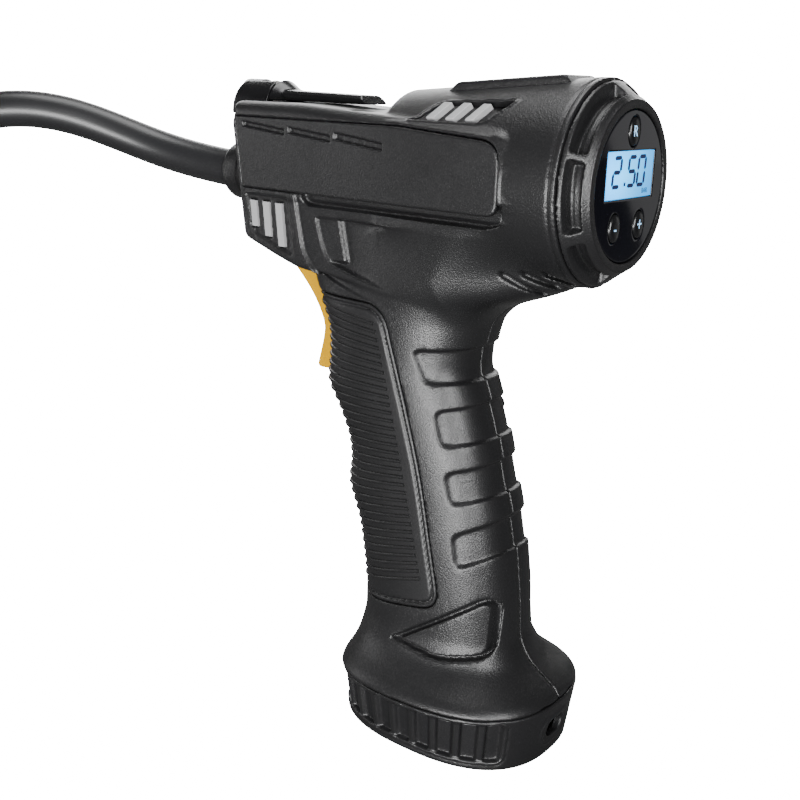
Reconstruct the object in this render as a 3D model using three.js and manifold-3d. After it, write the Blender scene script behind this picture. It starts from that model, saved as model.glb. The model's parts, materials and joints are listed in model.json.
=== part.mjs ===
// A cordless pistol-grip tyre inflator: a barrel with a round display at the rear, a nose with a lamp
// and an air hose, and a battery grip that stands on a fluted foot.
// Millimetres, +Z up. The origin is the centre of the foot's flat underside, +X points to the display
// end, and the plane Y = 0 parts the two casing shells. Left is -Y, as seen by the hand that holds it.
import * as THREE from "three";
import { mergeVertices } from "three/addons/utils/BufferGeometryUtils.js";
import Module from "manifold-3d";

const wasm = await Module();
wasm.setup();

// ---------------------------------------------------------------- driving dimensions
const gap = 0.3; // between pieces that meet or nest
const running = 0.15; // radial play of a shaft or pin in its hole
const wall = 2.6; // casing wall

const barrel = {
  axisZ: 189,
  frontX: -40,
  frontR: 14,
  shoulderX: -25,
  shoulderR: 24.8,
  rearX: 42.2,
  rearR: 30.2,
};
const nose = {
  frontX: -92, // at the top edge
  frontSlope: 0.163, // the front face leans back as it goes down
  halfWidth: 19.4,
  sideFlare: 0.068, // each side widens by this much per unit of length towards the barrel
  lowerHalfWidth: 20.4, // below the side panels
  edge: 1.5, // chamfer round the front face
  corner: 4.5,
  top: 208,
  frontBottom: 162.4,
  triggerX: -60,
  triggerBottom: 154.8,
};
const foot = {
  height: 18.5,
  tilt: 0.045, // its upper rim rises towards the rear by this much per unit of length
  rimLength: 41,
  rimWidth: 33.5,
  taper: 2.4,
  edge: 0.7,
  squareness: 2.5,
};
const flute = { count: 15, width: 3.4, height: 9.5, depth: 1, share: 1.35, centreZ: 9.4 };
const port = { z: 10.5, halfWidth: 5, halfHeight: 3.4, corner: 3.3, jackDepth: 11.4, setBack: 4.6 };
const grip = { halfWidth: 21, squareness: 2.6 };
const insert = { thickness: 1.4 };
const panel = { thickness: 1.6, proud: 0.5, top: 203, bottom: 179.5, rearX: 21, corner: 3 };
const noseSlot = {
  pitch: 6.2,
  width: 3,
  lean: 0.13,
  fromFront: 10.4,
  belowPanel: 4.2,
  aboveEdge: 4.2,
  climb: 2.8,
};
const ventFacet = { centreX: 4, y: 19.6, z: 208.4, length: 27, height: 7.6, depth: 3, lean: 3.4 };
const rail = { halfWidth: 6, rearX: -43, height: 2.8, slope: 1.8 };
const pad = { halfWidth: 9, frontX: -6.5, rearX: 32, thickness: 7, proud: 1.05, slope: 1.5 };
const bezel = { depth: 7.6, step: 1.2, flange: 1.2, cone: 5, lip: 2.4, proud: 0.4 };
const glass = { thickness: 2 };
const screen = { width: 30, height: 13.4, thickness: 2.2, rise: 3.6 };
const board = { thickness: 1.6 };
const button = {
  width: 6.4,
  height: 8.4,
  length: 4.2,
  proud: 0.7,
  resetRise: 15.6,
  pairDrop: 11.2,
  pairSpread: 7.8,
};
const trigger = { halfWidth: 5.6, pivotX: -58, pivotZ: 161, pinR: 1.6, slotClearance: 1, sweep: 22 };
const motor = { radius: 12, length: 30.8, shaftR: 1, frontY: 8.3, skin: 1, bellLength: 3, neck: 1.5 };
const gears = { module: 0.8, pinionTeeth: 10, width: 3, drop: 1.4 };
const crank = { radius: 6, shaftR: 2, discR: 9.2, discWidth: 3.2, pinR: 1.6, bearingR: 4, clearance: 0.8 };
const rod = { length: 30, width: 4, bigEndR: 4, smallEndR: 3, shank: 2 };
const piston = { clearance: 0.4, crown: 6, skirt: 6, pinR: 1.5, pinLength: 13, sealWidth: 1.2 };
const cylinder = {
  boreR: 9,
  wall: 2.5,
  headLength: 8,
  headroom: 2,
  overhang: 10,
  spigotR: 2.4,
  spigot: 6,
  portR: 1.2,
};
const plate = { thickness: 2.4, gearSpace: 1.2 };
const hose = { radius: 6.75, exitZ: 183 };
const ferrule = { wall: 3.55, frontX: -107.2, seat: 8, chamfer: 2.4 };
const barb = { boreR: 1, flange: 2, length: 6 };
const cell = {
  radius: 9.2,
  length: 65,
  lean: 0.19,
  baseX: -2,
  baseZ: 31,
  tray: 2.2,
  nippleR: 3,
  nipple: 0.8,
};
const lamp = {
  halfWidth: 9.5,
  floorZ: 203.5,
  top: 215.4,
  frontX: -101,
  rearX: -84,
  lensR: 5.4,
  lensFloor: 1,
};
const screwSize = { headR: 2.6, headLength: 2, shankR: 1.2, length: 11, sink: 2.2, bossWall: 1.6 };

// Sizes that follow from those above.
const glassFaceX = barrel.rearX + bezel.depth;
const lensRearX = glassFaceX - glass.thickness;
const screenX = lensRearX - gap - screen.thickness;
const boardX = screenX - gap - board.thickness;
const ringR = barrel.rearR - bezel.step;
const rimR = ringR - bezel.cone;
const glassR = rimR - bezel.lip;
const ferruleR = hose.radius + ferrule.wall;
const baseLength = foot.rimLength - foot.taper;
const baseWidth = foot.rimWidth - foot.taper;
// The crank's big end swings just clear of the motor can, which sets the large gear's teeth.
const clearDistance = motor.radius + crank.radius + rod.bigEndR + crank.clearance;
const crankTeeth = Math.round((2 * clearDistance) / gears.module) - gears.pinionTeeth;
const gearDistance = (gears.module * (gears.pinionTeeth + crankTeeth)) / 2;
const motorX = boardX - 1.4 - motor.radius;
const motorZ = barrel.axisZ;
const crankZ = motorZ - gears.drop;
const crankX = motorX - Math.sqrt(gearDistance ** 2 - gears.drop ** 2);
const plateY = [motor.frontY + gap, motor.frontY + gap + plate.thickness];
const gearY = plateY[1] + plate.gearSpace;
const pistonPinX = crankX - crank.radius - rod.length;

// ---------------------------------------------------------------- materials
const finish = (color, roughness, metalness) =>
  new THREE.MeshStandardMaterial({ color, roughness, metalness });
const plastic = (color, roughness = 0.55) => finish(color, roughness, 0);
const metal = (color, roughness = 0.35) => finish(color, roughness, 1);
const blackShell = plastic(0x161617);
const blackGloss = plastic(0x08080a, 0.15);
const blackRubber = plastic(0x121212, 0.8);
const greyTrim = plastic(0x8f9092, 0.6);
const yellow = plastic(0xf6b800, 0.4);
const smokedGlass = plastic(0x05050a, 0.05);
const litScreen = plastic(0x7fd8ff, 0.3);
const whitePlastic = plastic(0xe4e4e0, 0.5);
const boardGreen = plastic(0x1d5a34, 0.5);
const cellWrap = plastic(0x2d6fb4, 0.45);
const steel = metal(0x9da0a3);
const brass = metal(0xb8934a);
const aluminium = metal(0xb9bcc0, 0.45);
const copper = metal(0xa8622f, 0.4);

// ---------------------------------------------------------------- solids
const alongX = new THREE.Matrix4().makeRotationZ(-Math.PI / 2);
const alongY = new THREE.Matrix4();
const alongZ = new THREE.Matrix4().makeRotationX(Math.PI / 2);

// A closed geometry as a manifold-3d solid, with its faces turned outwards.
function solid(geometry) {
  const bare = geometry.clone();
  bare.deleteAttribute("normal");
  bare.deleteAttribute("uv");
  const merged = mergeVertices(bare, 1e-4);
  const vertProperties = merged.attributes.position.array;
  const triVerts = new Uint32Array(merged.index.array);
  const made = new wasm.Manifold(new wasm.Mesh({ numProp: 3, vertProperties, triVerts }));
  if (made.volume() > 0) return made;
  return new wasm.Manifold(new wasm.Mesh({ numProp: 3, vertProperties, triVerts: triVerts.reverse() }));
}

function geometryOf(made) {
  const mesh = made.getMesh();
  const geometry = new THREE.BufferGeometry();
  geometry.setAttribute("position", new THREE.BufferAttribute(mesh.vertProperties, 3));
  geometry.setIndex(new THREE.BufferAttribute(mesh.triVerts, 1));
  return geometry;
}

const union = (...solids) => solids.reduce((whole, next) => whole.add(next));

function box([x0, x1], [y0, y1], [z0, z1]) {
  const geometry = new THREE.BoxGeometry(x1 - x0, y1 - y0, z1 - z0);
  geometry.translate((x0 + x1) / 2, (y0 + y1) / 2, (z0 + z1) / 2);
  return solid(geometry);
}

// A turned piece: the profile gives [radius, station] pairs, and the axis passes through centre.
function turned(profile, axis, [x, y, z], sides = 20) {
  const closed = profile.map(([r, s]) => new THREE.Vector2(r, s));
  if (closed[0].x > 0) closed.push(closed[0].clone());
  const geometry = new THREE.LatheGeometry(closed, sides);
  geometry.applyMatrix4(axis);
  geometry.translate(x, y, z);
  return solid(geometry);
}

const roundBar = (r, s0, s1, axis, centre, sides = 20) =>
  turned([[0, s0], [r, s0], [r, s1], [0, s1]], axis, centre, sides);

// A round sleeve between two radii.
const sleeve = (inner, outer, s0, s1, axis, centre, sides = 20) =>
  turned([[inner, s0], [outer, s0], [outer, s1], [inner, s1]], axis, centre, sides);

const extruded = (shape, depth, curveSegments = 1) =>
  new THREE.ExtrudeGeometry(shape, { depth, bevelEnabled: false, curveSegments });

// An outline in X and Z, given as a Shape or a point list, carried along Y from y0 to y1.
function extrudedAlongY(outline, y0, y1) {
  const points = outline instanceof THREE.Shape ? null : outline.map(([x, z]) => new THREE.Vector2(x, z));
  const shape = points ? new THREE.Shape(points) : outline;
  const geometry = extruded(shape, y1 - y0, 6);
  geometry.applyMatrix4(new THREE.Matrix4().makeRotationX(Math.PI / 2));
  geometry.translate(0, y1, 0);
  return solid(geometry);
}

// An outline in Y and Z carried along X from x0 to x1.
function extrudedAlongX(shape, x0, x1) {
  const geometry = extruded(shape, x1 - x0, 7);
  const turn = new THREE.Matrix4().makeBasis(
    new THREE.Vector3(0, 1, 0),
    new THREE.Vector3(0, 0, 1),
    new THREE.Vector3(1, 0, 0),
  );
  geometry.applyMatrix4(turn);
  geometry.translate(x0, 0, 0);
  return solid(geometry);
}

// A skin through rings of equally many points, closed by a fan at each end.
function loft(rings) {
  const count = rings[0].length;
  const points = rings.flat();
  const faces = [];
  for (let ring = 0; ring < rings.length - 1; ring++) {
    for (let i = 0; i < count; i++) {
      const a = ring * count + i;
      const b = ring * count + ((i + 1) % count);
      faces.push(a, b, b + count, a, b + count, a + count);
    }
  }
  const last = (rings.length - 1) * count;
  for (let i = 1; i < count - 1; i++) faces.push(0, i + 1, i, last, last + i, last + i + 1);
  const geometry = new THREE.BufferGeometry().setFromPoints(points);
  geometry.setIndex(faces);
  return solid(geometry);
}

// A squared oval from front to rear in X and half-width b in Y, at the height given for each X.
function ovalRing(height, front, rear, b, squareness, count = 24) {
  const ring = [];
  for (let i = 0; i < count; i++) {
    const angle = (2 * Math.PI * i) / count;
    const cos = Math.cos(angle);
    const sin = Math.sin(angle);
    const x = (front + rear) / 2 + ((rear - front) / 2) * Math.sign(cos) * Math.abs(cos) ** (2 / squareness);
    const y = b * Math.sign(sin) * Math.abs(sin) ** (2 / squareness);
    ring.push(new THREE.Vector3(x, y, height(x)));
  }
  return ring;
}

// A rounded rectangle in the plane X = x.
function plateRing(x, halfWidth, bottom, top, corner) {
  const ring = [];
  const steps = 3;
  const corners = [
    [1, 1, 0],
    [-1, 1, Math.PI / 2],
    [-1, -1, Math.PI],
    [1, -1, 1.5 * Math.PI],
  ];
  for (const [sideY, sideZ, start] of corners) {
    const y = sideY * (halfWidth - corner);
    const z = sideZ > 0 ? top - corner : bottom + corner;
    for (let i = 0; i <= steps; i++) {
      const angle = start + (i * Math.PI) / 2 / steps;
      ring.push(new THREE.Vector3(x, y + corner * Math.cos(angle), z + corner * Math.sin(angle)));
    }
  }
  return ring;
}

function roundedShape(left, right, bottom, top, radius) {
  const shape = new THREE.Shape();
  shape.moveTo(left + radius, bottom);
  shape.lineTo(right - radius, bottom);
  shape.absarc(right - radius, bottom + radius, radius, -Math.PI / 2, 0, false);
  shape.lineTo(right, top - radius);
  shape.absarc(right - radius, top - radius, radius, 0, Math.PI / 2, false);
  shape.lineTo(left + radius, top);
  shape.absarc(left + radius, top - radius, radius, Math.PI / 2, Math.PI, false);
  shape.lineTo(left, bottom + radius);
  shape.absarc(left + radius, bottom + radius, radius, Math.PI, 1.5 * Math.PI, false);
  return shape;
}

// ---------------------------------------------------------------- casing form
// The grip's outline by height: its front edge, its rear edge and its half-width.
const gripStations = [
  [171, -64, 30, grip.halfWidth],
  [158, -64, 32, grip.halfWidth - 0.2],
  [153.5, -63, 25.5, grip.halfWidth - 0.2],
  [149.5, -61, 13, grip.halfWidth - 0.2],
  [143.5, -57.6, 7, grip.halfWidth - 0.2],
  [136, -53.6, 4.8, grip.halfWidth],
  [127, -53, 4, grip.halfWidth],
  [116, -54.4, 8.5, grip.halfWidth],
  [109, -49.3, 11, grip.halfWidth],
  [99, -44, 13.6, grip.halfWidth],
  [91, -42.6, 15.6, grip.halfWidth],
  [82, -44, 18.4, grip.halfWidth],
  [69, -38.4, 21, grip.halfWidth],
  [52, -35.2, 23.4, grip.halfWidth],
  [37, -34.8, 24.6, grip.halfWidth + 0.4],
  [30, 4.6 - foot.rimLength, foot.rimLength - 12.5, foot.rimWidth - 10],
  [25, 2.8 - foot.rimLength, foot.rimLength - 6, foot.rimWidth - 5.7],
];
const rimHeight = (x) => foot.height + foot.tilt * x;

// The grip's body, drawn in by inset on every side; its lower end is the flared rim over the foot.
function gripBody(inset, count = 24, step = 1) {
  const rings = gripStations
    .filter((_, i) => i % step === 0)
    .map(([z, front, rear, half]) =>
      ovalRing(() => z, front + inset, rear - inset, half - inset, grip.squareness, count),
    );
  for (const lift of [2, -6]) {
    const height = (x) => rimHeight(x) + lift;
    const reach = foot.rimLength - inset;
    rings.push(ovalRing(height, -reach, reach, foot.rimWidth - inset, foot.squareness, count));
  }
  return loft(rings);
}

const barrelRadius = (x) => {
  const share = (x - barrel.shoulderX) / (barrel.rearX - 3 - barrel.shoulderX);
  return barrel.shoulderR + share * (barrel.rearR - barrel.shoulderR);
};
function barrelBody(inset, rearX, sides = 36) {
  const profile = [
    [0, barrel.frontX + inset],
    [barrel.frontR - inset, barrel.frontX + inset],
    [barrel.shoulderR - inset, barrel.shoulderX + inset / 2],
    [barrel.rearR - inset, barrel.rearX - 3],
    [barrel.rearR - inset, rearX],
    [0, rearX],
  ];
  return turned(profile, alongX, [0, 0, barrel.axisZ], sides);
}

// Half the nose's width at a station along X, at the height of its side panels.
const sideY = (x) => nose.halfWidth + nose.sideFlare * (x - nose.frontX);
const sideTurn = Math.atan(nose.sideFlare);

// The nose is a box that widens towards the barrel, on a plainer box that ends inside the grip's neck.
function noseBody(inset) {
  const { frontX, edge, corner, top, halfWidth, triggerX, triggerBottom, frontBottom } = nose;
  const leanBack = (ring) =>
    ring.map((p) => new THREE.Vector3(p.x + nose.frontSlope * (top - p.z), p.y, p.z));
  const front = (back, lift, bottom) => {
    const half = halfWidth - lift - inset;
    return leanBack(plateRing(frontX + back + inset, half, bottom + inset, top - lift - inset, corner));
  };
  const ledge = panel.bottom - 2;
  const upper = loft([
    front(0, edge, ledge - edge),
    front(edge, 0, ledge),
    plateRing(triggerX, sideY(triggerX) - inset, ledge + inset, top - inset, corner),
    plateRing(panel.rearX + 2, sideY(panel.rearX + 2) - inset, ledge + inset, panel.top + 1 - inset, corner),
  ]);
  const lower = loft([
    front(0, edge, frontBottom + edge),
    front(edge, 0, frontBottom),
    plateRing(triggerX, nose.lowerHalfWidth - inset, triggerBottom + inset, top - 6 - inset, corner),
    plateRing(-20, grip.halfWidth - inset, triggerBottom - 2 + inset, top - 12 - inset, corner),
  ]);
  return upper.add(lower);
}

const outerForm = union(gripBody(0), barrelBody(0, barrel.rearX), noseBody(0));
const innerForm = () => union(gripBody(wall, 14, 2), barrelBody(wall, barrel.rearX + 1), noseBody(wall));

// ---------------------------------------------------------------- pieces on the casing
// The ribbed rubber insert wraps the front of the grip inside this side outline.
function insertRegion(grow) {
  const outline = new THREE.Shape();
  outline.moveTo(-75, 147 + grow);
  outline.lineTo(-27, 147 + grow);
  outline.quadraticCurveTo(-21.4 + grow, 144, -21 + grow, 137.5);
  outline.lineTo(-5.5 + grow, 95.3);
  outline.lineTo(3.1 + grow, 59.1);
  outline.quadraticCurveTo(4.6 + grow, 50 - grow, -2, 48 - grow);
  outline.lineTo(-24.5, 43.5 - grow);
  outline.lineTo(-75, 43.5 - grow);
  return extrudedAlongY(outline, -40, 40);
}

// The trigger blade, seen from the side; grow widens it into the slot that it moves in.
function triggerBlade(grow, halfWidth) {
  const outline = new THREE.Shape();
  outline.moveTo(-75.5 - grow, 153.6 + grow);
  outline.quadraticCurveTo(-64.5 - grow, 143, -60.2 - grow, 134);
  outline.quadraticCurveTo(-59.4 - grow, 128, -62.2 - grow, 120.4);
  outline.quadraticCurveTo(-63 - grow, 117 - grow, -60 - grow, 116.4 - grow);
  outline.lineTo(-52.5 + grow, 117.2 - grow);
  outline.lineTo(-48.5 + grow, 131);
  outline.lineTo(-50 + grow, 146);
  outline.lineTo(trigger.pivotX + 4 + grow, trigger.pivotZ);
  outline.lineTo(trigger.pivotX + 2 + grow, trigger.pivotZ + 4 + grow);
  outline.lineTo(trigger.pivotX - 3 - grow, trigger.pivotZ + 4 + grow);
  outline.lineTo(trigger.pivotX - 6 - grow, trigger.pivotZ - 2);
  return extrudedAlongY(outline, -halfWidth, halfWidth);
}

// The side panel's outline, in X and Z, before it is turned to lie along the nose side.
function panelOutline(shrink) {
  const shape = new THREE.Shape();
  const front = nose.frontX + 3 + shrink;
  const rear = panel.rearX - shrink;
  const top = panel.top - shrink;
  const bottom = panel.bottom + shrink;
  const { corner } = panel;
  shape.moveTo(front + nose.frontSlope * (top - bottom), bottom);
  shape.lineTo(rear - corner, bottom);
  shape.absarc(rear - corner, bottom + corner, corner, -Math.PI / 2, 0, false);
  shape.lineTo(rear, top - corner - 3);
  shape.absarc(rear - corner, top - corner - 3, corner, 0, Math.PI / 2, false);
  shape.lineTo(-20, top);
  shape.lineTo(front, top);
  return shape;
}

// A plate that follows the nose side: outside is how far its face stands proud, depth its thickness.
function sidePlate(side, outline, proud, depth) {
  const geometry = extruded(outline, depth, 5);
  geometry.applyMatrix4(new THREE.Matrix4().makeRotationX(Math.PI / 2));
  geometry.translate(-nose.frontX, -proud + depth, 0);
  geometry.rotateZ(-sideTurn);
  geometry.translate(nose.frontX, -nose.halfWidth, 0);
  if (side > 0) geometry.scale(1, -1, 1);
  return solid(geometry);
}

// A leaning vent slot in the nose side, counted from the front.
function noseVentOutline(index, grow) {
  const { pitch, width, lean } = noseSlot;
  const left = nose.frontX + noseSlot.fromFront + index * pitch;
  const top = panel.bottom - noseSlot.belowPanel;
  const bottom = nose.frontBottom + noseSlot.aboveEdge - index * noseSlot.climb;
  const shape = new THREE.Shape();
  shape.moveTo(left - grow, top + grow);
  shape.lineTo(left + width + grow, top + grow);
  shape.lineTo(left + width + grow + lean * (top - bottom), bottom - grow);
  shape.lineTo(left - grow + lean * (top - bottom), bottom - grow);
  return shape;
}

// The three light bars of a nose vent stand through the wall from a strip behind it.
const ventReach = wall + 3;
function noseVent(side) {
  const first = noseVentOutline(0, 0).getPoints();
  const last = noseVentOutline(2, 0).getPoints();
  const bottom = panel.bottom - 9;
  const strip = new THREE.Shape([
    new THREE.Vector2(first[0].x + 1.5, bottom),
    new THREE.Vector2(last[1].x + 1, bottom),
    new THREE.Vector2(last[1].x + 1, bottom + 3),
    new THREE.Vector2(first[0].x + 1.5, bottom + 3),
  ]);
  const barDepth = ventReach - gap;
  const bars = [0, 1, 2].map((i) => sidePlate(side, noseVentOutline(i, 0), -0.4, barDepth - 0.4));
  const backing = sidePlate(side, strip, 1.2 - barDepth, 1.2);
  return union(...bars, backing);
}

// The raised plates on top: an outline in X and Z with sloped ends.
const ridgeOutline = (x0, x1, z0, z1, lift, slope) => [
  [x0, z0],
  [x1, z1],
  [x1 - slope, z1 + lift],
  [x0 + slope, z0 + lift],
];
const topRail = () => {
  const seat = nose.top + gap;
  const outline = ridgeOutline(lamp.rearX + gap, rail.rearX, seat, seat, rail.height, rail.slope);
  return extrudedAlongY(outline, -rail.halfWidth, rail.halfWidth);
};
const topPad = () => {
  const seat = (x) => barrel.axisZ + barrelRadius(x) + pad.proud - pad.thickness;
  const { frontX, rearX, thickness, slope } = pad;
  const outline = ridgeOutline(frontX, rearX, seat(frontX), seat(rearX), thickness, slope);
  return extrudedAlongY(outline, -pad.halfWidth, pad.halfWidth).subtract(barrelBody(-gap, barrel.rearX));
};

// An upper vent grille lies on a facet turned 45 degrees about X, on either side of the barrel's top.
function upperVent(side, grow, depth) {
  const half = ventFacet.length / 2 + grow;
  const tall = ventFacet.height / 2 + grow;
  const { lean } = ventFacet;
  const shape = new THREE.Shape();
  shape.moveTo(-half - lean, -tall);
  shape.lineTo(half - lean, -tall);
  shape.lineTo(half + lean, tall);
  shape.lineTo(-half + lean, tall);
  const geometry = extruded(shape, depth);
  geometry.applyMatrix4(new THREE.Matrix4().makeRotationX(Math.PI / 4));
  const down = depth * Math.SQRT1_2;
  geometry.translate(ventFacet.centreX, down - ventFacet.y, ventFacet.z - down);
  if (side > 0) geometry.scale(1, -1, 1);
  return solid(geometry);
}

// ---------------------------------------------------------------- lamp
function lampShape(grow) {
  const shape = new THREE.Shape();
  const half = lamp.halfWidth + grow;
  const springing = lamp.top - lamp.halfWidth;
  shape.moveTo(-half, lamp.floorZ - grow);
  shape.lineTo(half, lamp.floorZ - grow);
  shape.lineTo(half, springing);
  shape.absarc(0, springing, half, 0, Math.PI, false);
  return shape;
}
const lampCentre = [0, 0, lamp.floorZ + lamp.lensR + lamp.lensFloor];
const lampHousing = () => {
  const bore = roundBar(lamp.lensR + gap, lamp.frontX - 1, lamp.rearX - 2, alongX, lampCentre);
  return extrudedAlongX(lampShape(0), lamp.frontX, lamp.rearX).subtract(bore);
};
const lampReflector = () => {
  const front = lamp.frontX + 2.6;
  const r = lamp.lensR;
  const profile = [
    [r - 0.6, front],
    [r, front],
    [r, front + 6],
    [1.8, front + 9],
    [1.8, front + 8],
    [r - 1.2, front + 4],
  ];
  return turned(profile, alongX, lampCentre);
};
const lampDisc = (r, s0, s1) => roundBar(r, lamp.frontX + s0, lamp.frontX + s1, alongX, lampCentre);

// ---------------------------------------------------------------- shells
const slotHalfWidth = trigger.halfWidth + gap;
const ferruleHole = () =>
  roundBar(ferruleR + gap, nose.frontX - 5, nose.frontX + 14, alongX, [0, 0, hose.exitZ]);

// The blade swings back inside the grip, so its slot runs on behind it.
const triggerSweep = () =>
  box([trigger.pivotX + 2, trigger.pivotX + trigger.sweep], [-slotHalfWidth, slotHalfWidth], [114, 160]);
const triggerSlot = () => triggerBlade(trigger.slotClearance, slotHalfWidth).add(triggerSweep());

function casingCuts() {
  const insertSeat = insertRegion(gap).intersect(gripBody(-5)).subtract(gripBody(insert.thickness + gap));
  const lampSeat = extrudedAlongX(lampShape(gap), lamp.frontX - 5, lamp.rearX + gap);
  const cuts = [insertSeat, triggerSlot(), lampSeat, ferruleHole(), innerForm(), belowRim()];
  const outwards = 3;
  for (const side of [-1, 1]) {
    const panelDepth = panel.thickness - panel.proud + gap;
    cuts.push(sidePlate(side, panelOutline(-gap), outwards, outwards + panelDepth));
    cuts.push(upperVent(side, gap, ventFacet.depth + gap));
    for (let i = 0; i < 3; i++) {
      cuts.push(sidePlate(side, noseVentOutline(i, gap), outwards, outwards + ventReach));
    }
  }
  return cuts;
}

// Everything under the sloping joint between the casing and the foot.
const belowRim = () => {
  const reach = 80;
  const cut = (x) => rimHeight(x) + gap / 2;
  const outline = [[-reach, 0], [reach, 0], [reach, cut(reach)], [-reach, cut(-reach)]];
  return extrudedAlongY(outline, -reach, reach);
};
const casing = () => casingCuts().reduce((made, cut) => made.subtract(cut), outerForm);
const halfSpace = (side) => box([-200, 200], side < 0 ? [-200, -gap / 2] : [gap / 2, 200], [-10, 300]);

// ---------------------------------------------------------------- foot
function footLoft(inset, lift) {
  const ring = (height, length, width) =>
    ovalRing(height, inset - length, length - inset, width - inset, foot.squareness);
  return loft([
    ring(() => inset, baseLength - foot.edge, baseWidth - foot.edge),
    ring(() => foot.edge + inset, baseLength, baseWidth),
    ring((x) => rimHeight(x) + lift, foot.rimLength, foot.rimWidth),
  ]);
}
// How far the foot's side stands from its centre in a given direction, at the height of the flutes.
function fluteReach(angle) {
  const share = flute.centreZ / foot.height;
  const length = baseLength + share * foot.taper;
  const width = baseWidth + share * foot.taper;
  const n = foot.squareness;
  return (Math.abs(Math.cos(angle) / length) ** n + Math.abs(Math.sin(angle) / width) ** n) ** (-1 / n);
}
function baseCap() {
  let made = footLoft(0, -gap / 2).subtract(footLoft(wall, 5));
  for (let i = 0; i < flute.count; i++) {
    const angle = Math.PI * (1 + ((i - (flute.count - 1) / 2) * flute.share) / flute.count);
    const slot = new THREE.BoxGeometry(2 * flute.depth, flute.width, flute.height);
    slot.rotateZ(angle);
    const reach = fluteReach(angle);
    slot.translate(reach * Math.cos(angle), reach * Math.sin(angle), flute.centreZ);
    made = made.subtract(solid(slot));
  }
  const { halfWidth, halfHeight, corner, z } = port;
  const opening = roundedShape(-halfWidth, halfWidth, z - halfHeight, z + halfHeight, corner);
  return made.subtract(extrudedAlongX(opening, baseLength - 8, baseLength + 8));
}

// ---------------------------------------------------------------- display
const displayCentre = [0, 0, barrel.axisZ];
const buttonPlaces = [
  ["button_reset", 0, barrel.axisZ + button.resetRise],
  ["button_minus", -button.pairSpread, barrel.axisZ - button.pairDrop],
  ["button_plus", button.pairSpread, barrel.axisZ - button.pairDrop],
];
function buttonShape(grow, y = 0, z = 0) {
  const shape = new THREE.Shape();
  shape.absellipse(y, z, button.width / 2 + grow, button.height / 2 + grow, 0, 2 * Math.PI, false, 0);
  return shape;
}
function rearBezel() {
  const seat = barrel.rearR - wall - gap;
  const front = glassFaceX + bezel.proud;
  const profile = [
    [glassR + gap, screenX],
    [seat, screenX],
    [seat, barrel.rearX + gap],
    [ringR, barrel.rearX + gap],
    [ringR, barrel.rearX + bezel.flange],
    [rimR, front],
    [glassR + gap, front],
  ];
  return turned(profile, alongX, displayCentre, 36);
}
function displayLens() {
  const blank = roundBar(glassR, lensRearX, glassFaceX, alongX, displayCentre, 36);
  const holes = buttonPlaces.map(([, y, z]) =>
    extrudedAlongX(buttonShape(gap, y, z), lensRearX - 1, glassFaceX + 1),
  );
  return holes.reduce((made, hole) => made.subtract(hole), blank);
}
const lcdPanel = () => {
  const centreZ = barrel.axisZ + screen.rise;
  return box(
    [screenX, screenX + screen.thickness],
    [-screen.width / 2, screen.width / 2],
    [centreZ - screen.height / 2, centreZ + screen.height / 2],
  );
};
const displayBoard = () => roundBar(glassR + 2, boardX, boardX + board.thickness, alongX, displayCentre, 28);

// ---------------------------------------------------------------- drive
// A spur gear with plain tapered teeth, thinned a little for backlash, centred on its own axis.
function gearBlank(teeth, boreR, phase) {
  const pitchR = (gears.module * teeth) / 2;
  const rootR = pitchR - 1.2 * gears.module;
  const tipR = pitchR + 0.8 * gears.module;
  const step = (2 * Math.PI) / teeth;
  const shape = new THREE.Shape();
  const tooth = [
    [rootR, -0.3],
    [tipR, -0.11],
    [tipR, 0.11],
    [rootR, 0.3],
  ];
  for (let i = 0; i < teeth; i++) {
    for (const [r, share] of tooth) {
      const angle = phase + (i + share) * step;
      const method = i === 0 && share === -0.3 ? "moveTo" : "lineTo";
      shape[method](r * Math.cos(angle), r * Math.sin(angle));
    }
  }
  const bore = new THREE.Path();
  bore.absarc(0, 0, boreR, 0, 2 * Math.PI, true);
  shape.holes.push(bore);
  const geometry = extruded(shape, gears.width, 8);
  geometry.applyMatrix4(new THREE.Matrix4().makeRotationX(Math.PI / 2));
  geometry.translate(0, gears.width, 0);
  return geometry;
}
// The line between the two gear centres sets the phase at which a tooth meets a space.
const meshAngle = Math.atan2(motorZ - crankZ, motorX - crankX);

const motorCentre = [motorX, 0, motorZ];
const motorRearY = motor.frontY - motor.length;
function motorCan() {
  const { radius, frontY, skin, bellLength, shaftR, neck } = motor;
  const profile = [
    [shaftR + neck, frontY],
    [radius, frontY],
    [radius, motorRearY + bellLength],
    [radius - skin, motorRearY + bellLength],
    [radius - skin, frontY - skin],
    [shaftR + neck, frontY - skin],
  ];
  return turned(profile, alongY, motorCentre);
}
const motorEndBell = () => {
  const front = motorRearY + motor.bellLength - gap;
  return sleeve(motor.shaftR + gap, motor.radius, motorRearY, front, alongY, motorCentre);
};
function motorRotor() {
  const shaft = roundBar(motor.shaftR, motorRearY - 0.8, gearY + gears.width + 1, alongY, motorCentre, 12);
  const commutator = roundBar(4, motorRearY + 6, motorRearY + 11, alongY, motorCentre, 16);
  const core = roundBar(motor.radius - 3.2, motorRearY + 10, motorRearY + 25, alongY, motorCentre);
  return union(shaft, commutator, core);
}
const crankCentre = [crankX, 0, crankZ];
const cylinderRearX = pistonPinX + cylinder.overhang;
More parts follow.
